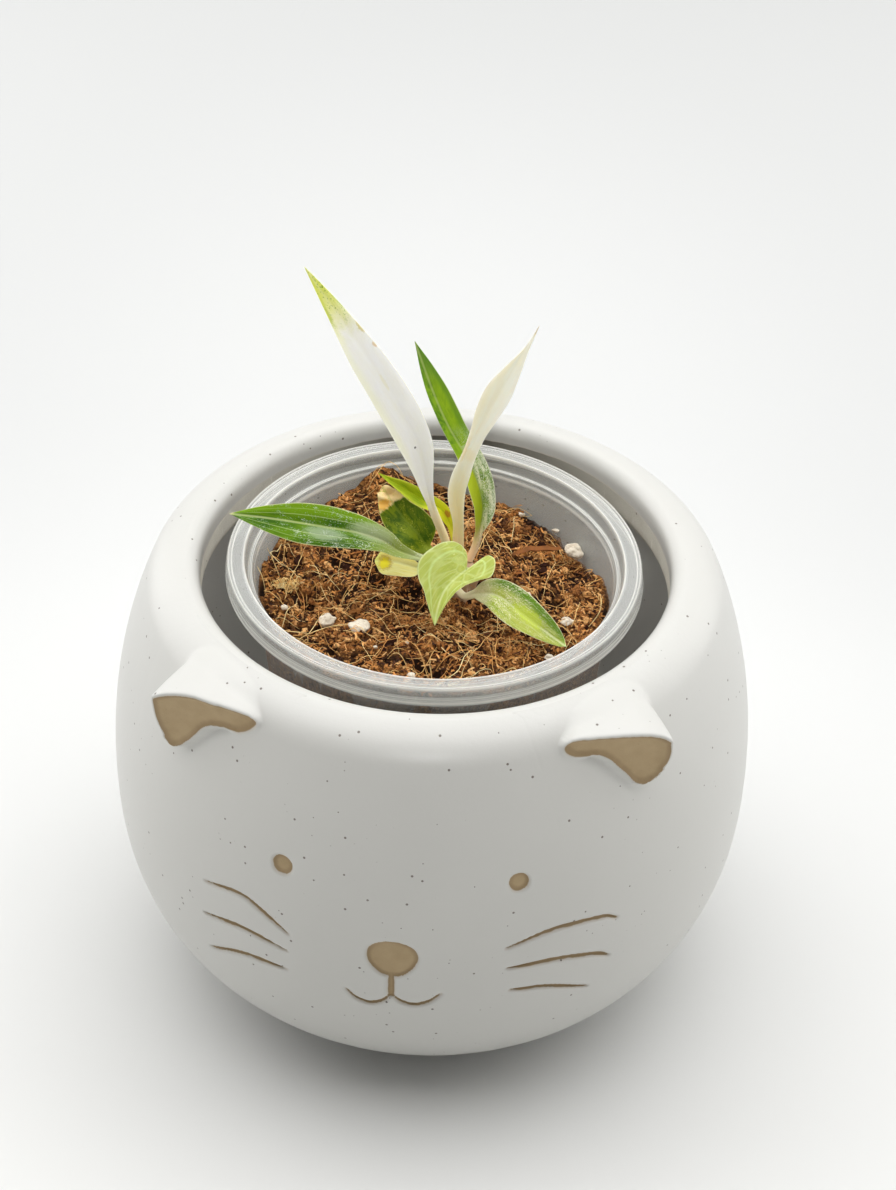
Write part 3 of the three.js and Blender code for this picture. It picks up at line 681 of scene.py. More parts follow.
def makePlastic():
    made, tree = material("clear plastic, milky where it is folded")
    spot = objectSpot(tree)
    tone = grouped(tree, "tone", {"Spot": spot}, Broad=60.0, Fine=500.0)
    milkAndHighlight = attribute(tree, "milkAndHighlight")
    clear = mixed(tone["Tone"], (0.755, 0.77, 0.74), (0.84, 0.85, 0.82))
    scuffs = cloud(objectSpot(tree, (1, 1, 14)), 120, 5)
    facing = node(tree, "ShaderNodeLayerWeight", Blend=0.32).outputs["Facing"]
    dust = grouped(tree, "specks", {"Spot": spot}, Scale=420.0, Size=0.06)["Mask"]
    # Painted highlight: the high milk values on the rim's beads and bends give pale, more opaque lines that stand in
    # for the light's reflection there
    opaque = plus(milkAndHighlight, times(facing, 0.12))
    opaque = plus(opaque, times(between(scuffs, 0.55, 0.8), 0.05))
    surface(tree, {
        "Base Color": mixed(between(milkAndHighlight, 0.3, 0.6), clear, (0.95, 0.94, 0.88)),
        "Roughness": between(scuffs, 0.35, 0.75, 0.14, 0.24), "IOR": 1.5, "Specular IOR Level": 0.8,
        "Alpha": plus(opaque, times(dust, 0.25), clamp=True),
    })
    bumped(tone["Tooth"], 0.00002)
    return made


# The ring that a drop of water left on the flange
def makeDrop():
    drop = settled(added(
        bpy.ops.mesh.primitive_torus_add, location=tuple(value * mm for value in cup["drop"]), major_segments=32,
        minor_segments=8, major_radius=cup["dropSize"] * mm, minor_radius=cup["dropThick"] * mm,
    ))
    paint(drop, "milkAndHighlight", np.full(len(drop.data.vertices), cup["dropMilk"]))
    return drop


def makeCup():
    halves = []
    for part in ("wall", "rim"):
        half = spun([step[:2] for step in cup[part]], [(360, cup["steps"])], centre=cup["centre"])
        spots = points(half)
        radius = np.hypot(spots[:, 0] - cup["centre"][0], spots[:, 1] - cup["centre"][1])
        steps = np.array([(*step, cup["wallMilk"])[:3] for step in cup[part]])  # the wall's steps give no milk
        nearest = np.hypot(radius[:, None] - steps[:, 0], spots[:, 2][:, None] - steps[:, 1]).argmin(axis=1)
        paint(half, "milkAndHighlight", steps[nearest, 2])
        lean = np.array(cup["lean"]) * (spots[:, :2] - cup["centre"])
        spots[:, 2] += lean.sum(axis=1) * np.clip(spots[:, 2] / cup["leanTop"], 0, 1)
        movePoints(half, spots)
        halves.append(half)
    piece = tidied(joined("clearCup", halves))
    applied(piece, "SOLIDIFY", thickness=cup["thickness"] * mm, offset=0, use_even_offset=True)
    piece = joined("clearCup", [piece, makeDrop()])
    piece.data.materials.append(makePlastic())
    return smoothed(piece, 50)


placed(makeCup(), "clearCup", "clear_plastic", "cup")
print("cup made")


# Coir: a rough bed, with crumbs, loose fibres and perlite on it
coir = {
    "radius": 38.75, "level": 102.0, "bottom": 11, "bottomRadius": 31.3, "rings": 84, "around": 210,
    "swells": [
        ((-15.4, 33.8), 3.6, 3.0), ((-15, 31), 3.0, 8), ((30, 22), -7.5, 7), ((12, 34), -2.6, 10), ((37, 7), -2.6, 8),
        ((0, -38), 2.2, 14), ((-5, -9.4), -4.8, 3.2), ((-12.3, -0.6), -3.8, 2.8), ((1.5, -32), -3, 2.2),
        ((10, -14.5), -3.4, 2.4), ((4, -2), 0.6, 9), ((-20, -11), -2.4, 2.6), ((-24, 4), -1.8, 2.4),
        ((21, 6), -2.4, 2.2), ((26, -4), -2.2, 2.6), ((-8, -22), -1.6, 2.4), ((-2, 22), -2.6, 3),
        ((17, -27), -1.8, 2.4),
    ],
    # how many of each there are, and how far from the middle they may lie
    "crumbs": 5200, "chunks": 230, "crumbReach": 37.4, "shreds": 6800, "shredReach": 37.6,
    "fibres": 210, "fibreReach": 37, "fuzz": 420, "fuzzReach": 37.5, "fibreEdge": 37.8,
    # each grain of perlite: its place, its height and its size
    "perlite": [
        ((29.9, 19.2), 97.5, 2.25), ((-21.5, -18.5), 102.3, 1.95), ((-14.3, -19.7), 102.2, 2.1),
        ((29.8, -11.7), 101.6, 1.35), ((26.6, -25.1), 102.3, 0.85), ((-1.3, -35.9), 103.2, 0.95),
        ((25.2, 26.5), 97.2, 0.75), ((-31.3, -14.9), 101.8, 0.7), ((-9.9, -26.8), 102.6, 0.5),
        ((17.0, 30.1), 98.4, 0.8), ((21.0, -3.0), 101.2, 0.45), ((-3.5, -24.0), 102.2, 0.45),
    ],
    # a bit of dry moss and a snapped stick
    "moss": (-32.2, -7.0, 2.3),
    "stick": [(16.4, 10.2, 101.6), (19.3, 12.4, 101.7), (22.3, 14.0, 101.0), (26.8, 17.0, 99.2)],
    # fibres that stand up against the clear wall
    "standing": [
        [(-34.3, -2.2, 99.5), (-35.6, -2.0, 103.5), (-37.0, -2.0, 107.5)],
        [(-36.6, -7.8, 99.5), (-37.3, -7.4, 103.5), (-38.3, -7.4, 106.3)],
        [(34.2, -12, 100), (36.5, -10, 103), (36.9, -7, 105)],
    ],
}
crownSpot = (4.2, -1.8)


def fromMiddle(x, y, middle=cup["centre"]):
    return math.hypot(x - middle[0], y - middle[1])


# A spot drawn anywhere within this reach of the cup's middle
def strewn(rng, reach):
    out, turnBy = reach * math.sqrt(rng.random()), rng.random() * math.tau
    return cup["centre"][0] + out * math.cos(turnBy), cup["centre"][1] + out * math.sin(turnBy)


def soilLevel(x, y):
    level = coir["level"]
    for at, rise, spread in coir["swells"]:
        level += rise * math.exp(-((x - at[0]) ** 2 + (y - at[1]) ** 2) / (2 * spread * spread))
    return level


def clods(x, y):
    return noise.turbulence((x / 9, y / 9, 3.1), 4, False, noise_basis="PERLIN_ORIGINAL") * 2.2


def soilTop(x, y):
    lumps = noise.turbulence((x / 2.6, y / 2.6, 8.4), 4, True, noise_basis="VORONOI_F1") * 1.3
    pits = 2.6 * max(0.0, noise.noise(Vector((x / 2.2, y / 2.2, 5.0))) - 0.1)
    return soilLevel(x, y) + clods(x, y) + lumps - pits - 2.5


def makeCoirColour(name, crumbs):
    made, tree = material(name)
    spot = objectSpot(tree)
    patch = cloud(spot, 150, 4, 0.6)
    fine = cloud(spot, 1500, 5, 0.65)
    threads = cloud(objectSpot(tree, (1, 4.5, 1)), 620, 4, 0.6, 1.5)
    red = mixed(between(patch, 0.3, 0.7), (0.30, 0.115, 0.035), (0.68, 0.30, 0.085))
    if crumbs:
        tone = attribute(tree, "tone")
        red = mixed(between(tone, 0.55, 1.0), red, (0.98, 0.56, 0.22))
        red = mixed(between(tone, 0.5, 0.1), red, (0.04, 0.014, 0.008))
    else:
        red = mixed(between(threads, 0.48, 0.66, 0, 0.8), red, (0.84, 0.42, 0.13))
        # Painted shade: the bed is darkened in its pits and on its side and bottom
        red = mixed(attribute(tree, "hollow"), red, (0.02, 0.011, 0.007))
    red = mixed(between(fine, 0.40, 0.54, 0.85, 0), red, (0.035, 0.013, 0.006))
    surface(tree, {"Base Color": red, "Roughness": 0.9, "Specular IOR Level": 0.1})
    bumped(plus(fine, threads), 0.0005, 0.9)
    return made


def makeBed():
    rings, around = coir["rings"], coir["around"]
    bed = added(bpy.ops.mesh.primitive_grid_add, x_subdivisions=around, y_subdivisions=rings + 2, size=2 * mm)
    flat = points(bed)
    angle = (flat[:, 0] + 1) * math.pi
    row = np.rint((flat[:, 1] + 1) / 2 * (rings + 2)).astype(int)
    cx, cy = cup["centre"]
    spots = np.empty_like(flat)
    hollow = np.zeros(len(flat))
    for i, (turnBy, ring) in enumerate(zip(angle, row)):
        ring = min(ring, rings)
        reach = coir["radius"] * (ring / rings)
        x, y = cx + reach * math.sin(turnBy), cy + reach * math.cos(turnBy)
        height = soilTop(x, y) if ring else soilTop(cx, cy)
        spots[i] = x, y, height
        # Painted shade: the deeper a spot lies below the bed's level, the darker the finish makes it
        hollow[i] = soilLevel(x, y) - 0.9 - height
    wall = row == rings + 1
    spots[wall, 0] = cx + coir["bottomRadius"] * np.sin(angle[wall])
    spots[wall, 1] = cy + coir["bottomRadius"] * np.cos(angle[wall])
    spots[wall, 2] = coir["bottom"]
    # Painted shade: the bed's side and bottom inside the cup are made fully dark
    hollow[row >= rings] = 1.0
    base = row == rings + 2
    spots[base] = cx, cy, coir["bottom"]
    movePoints(bed, spots)
    paint(bed, "hollow", ramp(0.1, 1.6, hollow))
    bed.data.materials.append(makeCoirColour("coir bed", False))
    return tidied(bed, 0.00002)


def makeCrumbs(rng):
    shapes = []
    plain, fine = 9, 5  # how many shapes there are for crumbs and for chunks
    for i in range(plain + fine):
        shape = added(bpy.ops.mesh.primitive_ico_sphere_add, subdivisions=1 if i < plain else 2, radius=mm)
        spots = points(shape)
        for k, spot in enumerate(spots):
            spots[k] = spot * (1 + 0.6 * noise.noise(Vector(spot) * 1.5 + Vector((7 * i, 0, 0))))
        shapes.append((spots, [tuple(face.vertices) for face in shape.data.polygons]))
        bpy.data.objects.remove(shape)
    corners, faces, tones = [], [], []
    for number in range(coir["crumbs"] + coir["chunks"]):
        x, y = strewn(rng, coir["crumbReach"])
        if fromMiddle(x, y, crownSpot) < 5.6:
            continue
        if number < coir["crumbs"]:
            half, kind = 0.16 + 0.5 * rng.random() ** 2.4, rng.randrange(plain)
        else:
            half, kind = 0.65 + 0.75 * rng.random() ** 2, plain + rng.randrange(fine)
        spots, loops = shapes[kind]
        spin = Matrix.Rotation(rng.random() * 6.28, 3, "Z") @ Matrix.Rotation(rng.random() * 6.28, 3, "X")
        stretch = np.array((1.15, 0.5 + 0.45 * rng.random(), 0.5 + 0.45 * rng.random()))
        lift = (0.1 + 0.7 * rng.random()) * half
        made = (spots * stretch * half) @ np.array(spin).T + (x, y, soilTop(x, y) + lift)
        start = len(corners)
        corners += [tuple(spot * mm) for spot in made]
        faces += [tuple(start + k for k in loop) for loop in loops]
        tones += [rng.random()] * len(made)
    piece = meshed("crumbs", corners, faces)
    paint(piece, "tone", tones)
    piece.data.materials.append(makeCoirColour("coir crumbs", True))
    return smoothed(piece, 35)


fibreStops = [
    (0, (0.20, 0.06, 0.02)), (0.3, (0.55, 0.23, 0.06)), (0.55, (0.80, 0.44, 0.14)), (0.8, (0.92, 0.64, 0.26)),
    (1, (0.95, 0.80, 0.42)),
]
shredStops = [
    (0, (0.02, 0.008, 0.005)), (0.32, (0.07, 0.025, 0.012)), (0.55, (0.42, 0.15, 0.035)), (0.8, (0.82, 0.37, 0.10)),
    (1, (0.98, 0.60, 0.25)),
]


def makeFibreColour(name, stops):
    made, tree = material(name)
    shade = node(tree, "ShaderNodeValToRGB")
    while len(shade.color_ramp.elements) < len(stops):
        shade.color_ramp.elements.new(0.5)
    for element, (place, colour) in zip(shade.color_ramp.elements, stops):
        element.position, element.color = place, (*colour, 1)
    link(attribute(tree, "tint"), shade.inputs["Fac"])
    patch = between(cloud(objectSpot(tree), 700, 3), 0.4, 0.7, 0, 0.5)
    colour = mixed(patch, shade.outputs["Color"], (0.16, 0.07, 0.03))
    surface(tree, {"Base Color": colour, "Roughness": 0.6, "Specular IOR Level": 0.15})
    return made


# Tubes along lines, each with its own radius and tint, as one mesh
def tubes(name, lines, sides):
    corners, faces, tints = [], [], []
    for line, radius, tint in lines:
        start = len(corners)
        count = len(line)
        ahead = np.gradient(line, axis=0)
        ahead /= np.linalg.norm(ahead, axis=1)[:, None] + 1e-9
        aside = np.cross(ahead, (0.3, 0.2, 0.93))
        aside /= np.linalg.norm(aside, axis=1)[:, None] + 1e-9
        upward = np.cross(aside, ahead)
        for k in range(count):
            thin = radius * (0.35 + 0.65 * math.sin(math.pi * (k + 0.6) / (count + 0.2)) ** 0.5)
            for s in range(sides):
                angle = math.tau * s / sides
                spot = line[k] + thin * (math.cos(angle) * aside[k] + math.sin(angle) * upward[k])
                corners.append(tuple(spot * mm))
                tints.append(tint)
        for k in range(count - 1):
            for s in range(sides):
                a, b = start + k * sides + s, start + k * sides + (s + 1) % sides
                faces.append((a, b, b + sides, a + sides))
        faces.append(tuple(start + s for s in reversed(range(sides))))
        faces.append(tuple(start + (count - 1) * sides + s for s in range(sides)))
    piece = meshed(name, corners, faces)
    paint(piece, "tint", tints)
    return smoothed(tidied(piece, 0.0000001), 80)


def fibreLine(rng, x, y, length, lift, curl, count):
    heading = rng.random() * math.tau
    line = []
    rise = lift * rng.random()
    for k in range(count):
        share = k / (count - 1)
        if fromMiddle(x, y) > coir["fibreEdge"]:  # it turns back from the cup's wall
            heading += 1.3
            x += (cup["centre"][0] - x) * 0.03
            y += (cup["centre"][1] - y) * 0.03
        z = soilLevel(x, y) + clods(x, y) - 0.75 + rise * math.sin(math.pi * share)
        line.append((x, y, z))
        heading += curl * (rng.random() - 0.5)
        x += math.cos(heading) * length / count
        y += math.sin(heading) * length / count
    return curveThrough(line, count)


# Short torn flakes of husk, dark to orange, lying every way
def makeShreds(rng):
    lines = []
    for _ in range(coir["shreds"]):
        x, y = strewn(rng, coir["shredReach"])
        length, thick, tone = 0.5 + 1.7 * rng.random() ** 1.8, 0.09 + 0.19 * rng.random() ** 2.0, rng.random()
        heading, slope = rng.random() * math.tau, 0.9 * (rng.random() - 0.5)
        lift = (0.2 + 0.8 * rng.random()) * thick
        if fromMiddle(x, y, crownSpot) < 5.4:
            continue
        ahead = np.array((math.cos(heading) * math.cos(slope), math.sin(heading) * math.cos(slope), math.sin(slope)))
        bend = np.array((-ahead[1], ahead[0], 0.4)) * 0.25 * (rng.random() - 0.5) * length
        middle = np.array((x, y, soilTop(x, y) + lift + 0.3 * abs(math.sin(slope)) * length))
        line = [middle + ahead * length * t + bend * (1 - 4 * t * t) for t in (-0.5, -0.17, 0.17, 0.5)]
        lines.append((np.array(line), thick, tone))
    piece = tubes("coirShreds", lines, 4)
    piece.data.materials.append(makeFibreColour("coir shreds", shredStops))
    return piece


def makeFibres(rng):
    lines = []
    for _ in range(coir["fibres"]):
        x, y = strewn(rng, coir["fibreReach"])
        length = 5 + 20 * rng.random() ** 1.6
        golden = 0.35 + 0.65 * rng.random()
        lines.append((fibreLine(rng, x, y, length, 2.2, 0.42, 13), 0.05 + 0.05 * rng.random(), golden))
    for _ in range(coir["fuzz"]):
        x, y = strewn(rng, coir["fuzzReach"])
        line = fibreLine(rng, x, y, 1.5 + 3.5 * rng.random(), 1.1, 1.3, 5)
        lines.append((line, 0.06 + 0.08 * rng.random() ** 2, 0.75 * rng.random()))
    for line in coir["standing"]:
        lines.append((curveThrough(line, 12), 0.1, 0.9))
    stick = curveThrough(coir["stick"], 16)
    stick[:, 2] += 0.12 * np.sin(np.arange(16) * 1.3)
    lines.append((stick, 0.72, 0.1))
    at = coir["moss"]
    for _ in range(90):
        turnBy, reach = rng.random() * math.tau, at[2] * math.sqrt(rng.random())
        x, y = at[0] + 1.15 * reach * math.cos(turnBy), at[1] + 0.75 * reach * math.sin(turnBy)
        line = fibreLine(rng, x, y, 1.2 + 1.6 * rng.random(), 1.6, 2.6, 5)
        lines.append((line, 0.07 + 0.06 * rng.random(), 0.72 + 0.28 * rng.random()))
    piece = tubes("coirFibres", lines, 4)
    piece.data.materials.append(makeFibreColour("coir fibre", fibreStops))
    return piece


def makePerlite(rng):
    made, tree = material("perlite")
    spot = objectSpot(tree)
    pits = cloud(spot, 900, 4, 0.6)
    white = mixed(cloud(spot, 300, 3), (0.66, 0.56, 0.42), (0.90, 0.84, 0.72))
    white = mixed(between(pits, 0.36, 0.5, 0.5, 0), white, (0.38, 0.26, 0.16))
    surface(tree, {"Base Color": white, "Roughness": 0.75})
    bumped(pits, 0.0005)
    grains = []
    for (x, y), height, half in coir["perlite"]:
        grain = added(bpy.ops.mesh.primitive_ico_sphere_add, subdivisions=4, radius=mm)
        spots = points(grain)
        shift = Vector((x, y, 0))
        stretch = np.array((1.1, 0.85 + 0.2 * rng.random(), 0.8))
        for k, spotNow in enumerate(spots):
            where = Vector(spotNow)
            lumpy = 0.95 + 0.5 * noise.noise(where * 1.1 + shift) + 0.1 * noise.noise(where * 3.1 + shift)
            spots[k] = spotNow * lumpy
        spots = spots * stretch * half * 0.9 + (x, y, height - 0.2 * half)
        movePoints(grain, spots)
        grain.data.materials.append(made)
        grains.append(smoothed(grain, 32))
    return joined("perlite", grains)


rng = random.Random(11)
placed(makeBed(), "coirBed", "coir", "soil")
placed(makeCrumbs(rng), "coirCrumbs", "coir", "soil")
placed(makeShreds(rng), "coirShreds", "coir", "soil")
placed(makeFibres(rng), "coirFibres", "coir", "soil")
placed(makePerlite(rng), "perlite", "coir", "soil")
print("coir made")


# The leaves: each is one closed skin from the foot of its petiole to its tip
leaves = [
    {
        "name": "leaf_cream_tall", "slot": "cream_leaf", "petiole": 0.95, "blade": 0.21,
        "spine": [(2.8, -0.4, 105.6), (2.1, -1, 112.4), (-1.2, -1.5, 122.7), (-4.2, -3.5, 138.9), (-11.1, -6, 155.4),
            (-19, -8, 170.3), (-26, -10, 183.2)],
        "left": [0.95, 2.3, 3.7, 4.1, 4, 3.7, 2.6, 1.4, 0.08],
        "right": [0.9, 1.9, 3.4, 3.9, 3.8, 3.2, 2.4, 1.4, 0.08],
        "fold": [30, 15, 10, 6, 5, 8, 14], "ridge": 0.08,
    },
    {
        "name": "leaf_green_middle", "slot": "green_leaf", "petiole": 0.85, "blade": 0.13,
        "spine": [(7.2, 1.6, 105.6), (8.6, 3, 109.7), (9.6, 4, 116.6), (9.3, 4.6, 120.4), (7.8, 5.2, 125.6),
            (5.2, 6, 130.8), (1.3, 7, 137.3), (-2.2, 8, 145.1), (-6.2, 9, 156.2)],
        "left": [1, 2.5, 2.9, 2.2, 1.7, 1.5, 1.4, 0.9, 0.08], "right": [1, 3.7, 4.2, 3.8, 3.5, 3.6, 3.2, 1.9, 0.08],
        "fold": [50, 45, 30, 15, 12, 12, 20],
    },
    {
        "name": "leaf_cream_twisted", "slot": "cream_leaf", "petiole": 1.2, "blade": 0.1,
        "spine": [(5.4, -1.6, 105.6), (5, -1.8, 112), (5, -2, 118.1), (4.3, -2, 125.9), (5.7, -2.5, 133.3),
            (8.2, -3.2, 141.6), (11, -4, 149.7), (15, -5, 159.3), (20.1, -6, 171.2)],
        "left": [1.3, 1.3, 1.8, 1.9, 1.4, 1.8, 2.7, 2.9, 1.7, 0.3, 0.06],
        "right": [1.3, 1.1, 1.8, 2, 1.7, 1.8, 2.5, 2.8, 1.9, 0.8, 0.06],
        "fold": [10, 10, 10, 10], "ridge": 0.1,
    },
    {
        "name": "leaf_green_left", "slot": "green_leaf", "petiole": 0.85, "blade": 0.14,
        "spine": [(0.5, -2, 105.6), (-2, -4, 109.1), (-7.4, -5.6, 112.1), (-11, -6.7, 115.5), (-16.2, -8.4, 118.4),
            (-24.3, -8.6, 119.5), (-34.2, -7, 119.3), (-44.4, -4.6, 118)],
        "left": [0.8, 1.7, 2.9, 3.8, 4.3, 4.4, 3.5, 1.9, 0.08],
        "right": [1.1, 2.1, 3.1, 4.1, 4.7, 4.4, 3.3, 1.9, 0.08],
        "fold": [30, 20, 15, 12, 12, 12, 20],
    },
    {
        "name": "leaf_olive_back", "slot": "olive_leaf", "petiole": 0.85, "blade": 0.2,
        "spine": [(1, 0.9, 105.6), (-1.2, 1.6, 107.2), (-4.6, 3, 111.2), (-8.2, 5.6, 113.4), (-11.7, 7.6, 117.4),
            (-12.8, 9, 118.2)],
        "left": [3, 5.1, 4.7, 4.6, 4.1, 2.9, 0.9], "right": [0.8, 4.3, 4.6, 4.2, 3.3, 2.6, 0.9],
        "fold": [20, 15, 12, 12, 10], "crumple": 0.55,
    },
    {
        "name": "leaf_lime_narrow", "slot": "lime_leaf", "petiole": 0.7, "blade": 0.28,
        "spine": [(3.6, 1.9, 105.6), (3.6, 2.2, 111.4), (1.2, 3.4, 117), (-3.6, 5.5, 118.2), (-9.1, 8.1, 119.7),
            (-14.1, 11.2, 120.4)],
        "left": [0.9, 1.9, 2.1, 2.2, 1.6, 0.9, 0.08], "right": [0.9, 1.8, 2.3, 2.5, 2, 0.9, 0.08],
        "fold": [40, 40, 40, 40],
    },
    {
        "name": "leaf_yellow_stub", "slot": "yellow_leaf", "petiole": 0.8, "blade": 0.25,
        "spine": [(0.3, -4.2, 105.6), (-3, -3.9, 106.5), (-8.9, -4, 107.9), (-13, -3.6, 107.5)],
        "left": [1.4, 2.3, 2.7, 2.9, 3.1, 3.1, 2.6, 0.3], "right": [0.7, 1.4, 1.9, 2.2, 2.3, 2.4, 2.1, 0.3],
        "fold": [15, 12, 12],
    },
    {
        "name": "leaf_heart_front", "slot": "pale_leaf", "petiole": 0.85, "blade": 0,
        "stalk": [(6.6, -4.4, 105.6), (7, -6.4, 108.6), (7.6, -9, 110.6), (7.2, -11.0, 111.6), (6.3, -12.3, 111.3)],
        "spine": [(7.5, -11, 112.6), (5.6, -13.2, 112), (3.9, -15.6, 111.1), (2.8, -18, 109.5), (2.3, -20.2, 107.6),
            (2.1, -22, 105.7)],
        "rib": [0, 0.15, 0.4, 0.8, 1.4, 2.2, 3.3, 4.9, 6.8, 9, 11.7, 14.7],
        "leftEdge": [(0.2, -1.6), (0.1, -4.6), (0.6, -6.4), (2.2, -6.6), (3.8, -5), (4.6, -3), (3.7, -0.8), (2.8, 2),
            (2.4, 4.8), (2, 8), (1, 11.8), (0.1, 14.7)],
        "rightEdge": [(0.8, -1), (2.6, -2.3), (4.8, -2.5), (6.6, -1.5), (7.7, 0.4), (8.3, 3), (8.3, 5.6), (6.2, 7.5),
            (4.2, 8.7), (2.7, 10.3), (1.3, 12.5), (0.1, 14.7)],
        "fold": [12, 12, 14, 14, 12],
    },
    {
        "name": "leaf_silver_front", "slot": "silver_leaf", "petiole": 0.8, "blade": 0.2,
        "spine": [(5.2, -6.2, 103.6), (7.4, -9.6, 104.4), (10.2, -10.9, 106.4), (14.8, -15.2, 109.6),
            (21.4, -20.4, 108.5), (28.5, -23.9, 105.7), (30.1, -26, 106.2)],
        "left": [1, 2.8, 4, 4.4, 3.8, 2.5, 0.1], "right": [1, 2.5, 3.6, 3.8, 2.9, 1.8, 0.1],
        "fold": [20, 15, 12, 12, 10],
    },
]


def leafFrames(spine):
    fine = curveThrough(spine, 400)
    steps = np.linalg.norm(np.diff(fine, axis=0), axis=1)
    length = np.concatenate([[0], np.cumsum(steps)])
    tangents = np.gradient(fine, length, axis=0)

    def at(distance):
        point = np.column_stack([np.interp(distance, length, fine[:, k]) for k in range(3)])
        tangent = np.column_stack([np.interp(distance, length, tangents[:, k]) for k in range(3)])
        tangent /= np.linalg.norm(tangent, axis=1)[:, None]
        point += tangent * np.minimum(distance, 0)[:, None]
        upper = np.array((0, -1, 0.8))
        upper = upper - tangent * (tangent @ upper)[:, None]
        upper /= np.linalg.norm(upper, axis=1)[:, None]
        return point, upper, np.cross(tangent, upper)

    return at, length[-1]


def leafSkin(leaf, rows=110, around=52):
    at, length = leafFrames(leaf["spine"])
    heart = "rib" in leaf
    start = leaf["blade"] * length
    bladeLength = length - start
    skin = added(bpy.ops.mesh.primitive_grid_add, x_subdivisions=around, y_subdivisions=rows, size=2 * mm)
    flat = points(skin)
    angle = (flat[:, 0] + 1) * math.pi
    share = (flat[:, 1] + 1) / 2
    petioleShare = 0.0 if heart else min(0.3, leaf["blade"] * 1.1)
    onBlade = (share - petioleShare) / (1 - petioleShare)
    s = np.where(onBlade < 0, share / max(petioleShare, 0.01) * start, start + onBlade * bladeLength)
    v = np.clip(onBlade, 0, 1)
    grown = np.ones(len(s)) if heart else ramp(start * 0.55, start + 0.06 * bladeLength, s)
    fold = np.radians(along(leaf["fold"], v)) * grown
    c, up = np.cos(angle), np.sin(angle)
    onLeft, reach = c < 0, np.abs(c)
    if heart:
        rib = along(leaf["rib"], v)
        out, ahead = (
            np.where(onLeft, *(along([spot[k] for spot in leaf[edge]], v) for edge in ("leftEdge", "rightEdge")))
            for k in range(2)
        )
    else:
        rib = ahead = s - start
        out = np.where(onLeft, along(leaf["left"], v), along(leaf["right"], v))
        out = leaf["petiole"] * (1 - grown) + np.maximum(out, 0.06) * grown
    thick = leaf["petiole"] * (1 - grown) + 0.16 * grown
    x = out * reach
    point, upper, side = at(start + rib + (ahead - rib) * reach)
    ridge = leaf.get("ridge", 0.3) * np.exp(-((x / 0.42) ** 2)) * grown * (1 - 0.7 * v)
    lift = x * np.sin(fold) + thick * up - np.where(up < 0, ridge, 0.55 * ridge)
    wave = 0.25 * grown * reach ** 2 * np.minimum(out, 3) / 3
    lift += wave * np.sin(9 * v + np.where(onLeft, 0, 1.7))
    lift += leaf.get("crumple", 0) * ramp(0.72, 0.86, v) * np.sin(1.9 * np.where(onLeft, -x, x) + 26 * v)
    spots = point + upper * lift[:, None] + side * (np.where(onLeft, -1, 1) * x * np.cos(fold))[:, None]
    movePoints(skin, spots)
    paint(skin, "leafPlace", np.column_stack([c * out / 5, (s - start) / 10, c]))
    with editing(skin):
        bpy.ops.mesh.remove_doubles(threshold=0.000004)
        pickOpenEdges()
        capPickedEdges()
    return skin


def stalkSkin(leaf):
    line = curveThrough(leaf["stalk"], 24)
    stalk = tubes("stalk", [(line, leaf["petiole"] * 1.15, 0)], 14)
    paint(stalk, "leafPlace", np.tile((0, -0.5, 0), (len(stalk.data.vertices), 1)))
    return stalk


# What runs over a leaf: lengthwise streaks, flecks in clusters, veins, a net, its midrib and its edge
def makeLeafGroup():
    tree, given, out = group(
        "leafMarks",
        [("Place", None), ("Seed", 0.0), ("Length", 6.0), ("Grain", 1.0)],
        ["Streak", "Fleck", "Broad", "Mottle", "Vein", "Rib", "Lines", "Edge", "Across", "Side", "Along", "Net"],
    )
    parts = node(tree, "ShaderNodeSeparateXYZ")
    link(given["Place"], parts.inputs[0])
    x, y, side = parts.outputs
    reach = absolute(x)
    slanted = minus(y, times(reach, 0.45))

    def spread(acrossScale, alongScale, shift):
        made = node(tree, "ShaderNodeCombineXYZ")
        link(times(x, acrossScale), made.inputs[0])
        link(times(slanted, alongScale), made.inputs[1])
        link(plus(given["Seed"], shift), made.inputs[2])
        return made.outputs[0]

    link(cloud(spread(16, 2.4, 0), 1, 4, 0.6), out["Streak"])
    dots = node(tree, "ShaderNodeTexNoise", Detail=4, Roughness=0.62)
    link(spread(24, 26, 5), dots.inputs["Vector"])
    link(given["Grain"], dots.inputs["Scale"])
    cluster = minus(cloud(spread(4, 2.2, 13), 1, 3, 0.6), 0.5)
    link(plus(dots.outputs["Fac"], times(cluster, 0.55)), out["Fleck"])
    link(cloud(spread(3.2, 0.9, 9), 1, 3, 0.6), out["Broad"])
    link(cloud(spread(3.6, 4.4, 17), 1, 5, 0.62, 0.6), out["Mottle"])
    link(maths("SINE", times(slanted, 62)), out["Vein"])
    link(between(reach, 0.07, 0.015), out["Rib"])
    near = absolute(side)
    inner = between(absolute(minus(near, 0.42)), 0.035, 0.0)
    outer = between(absolute(minus(near, 0.72)), 0.03, 0.0, 0, 0.6)
    link(maths("MAXIMUM", inner, outer), out["Lines"])
    cells = node(tree, "ShaderNodeTexVoronoi", feature="DISTANCE_TO_EDGE", Scale=1.0)
    link(spread(2.6, 3.4, 0), cells.inputs["Vector"])
    link(between(cells.outputs["Distance"], 0.14, 0.0), out["Net"])
    link(between(near, 0.945, 0.99), out["Edge"])
    link(x, out["Across"])
    link(side, out["Side"])
    link(maths("DIVIDE", y, given["Length"]), out["Along"])


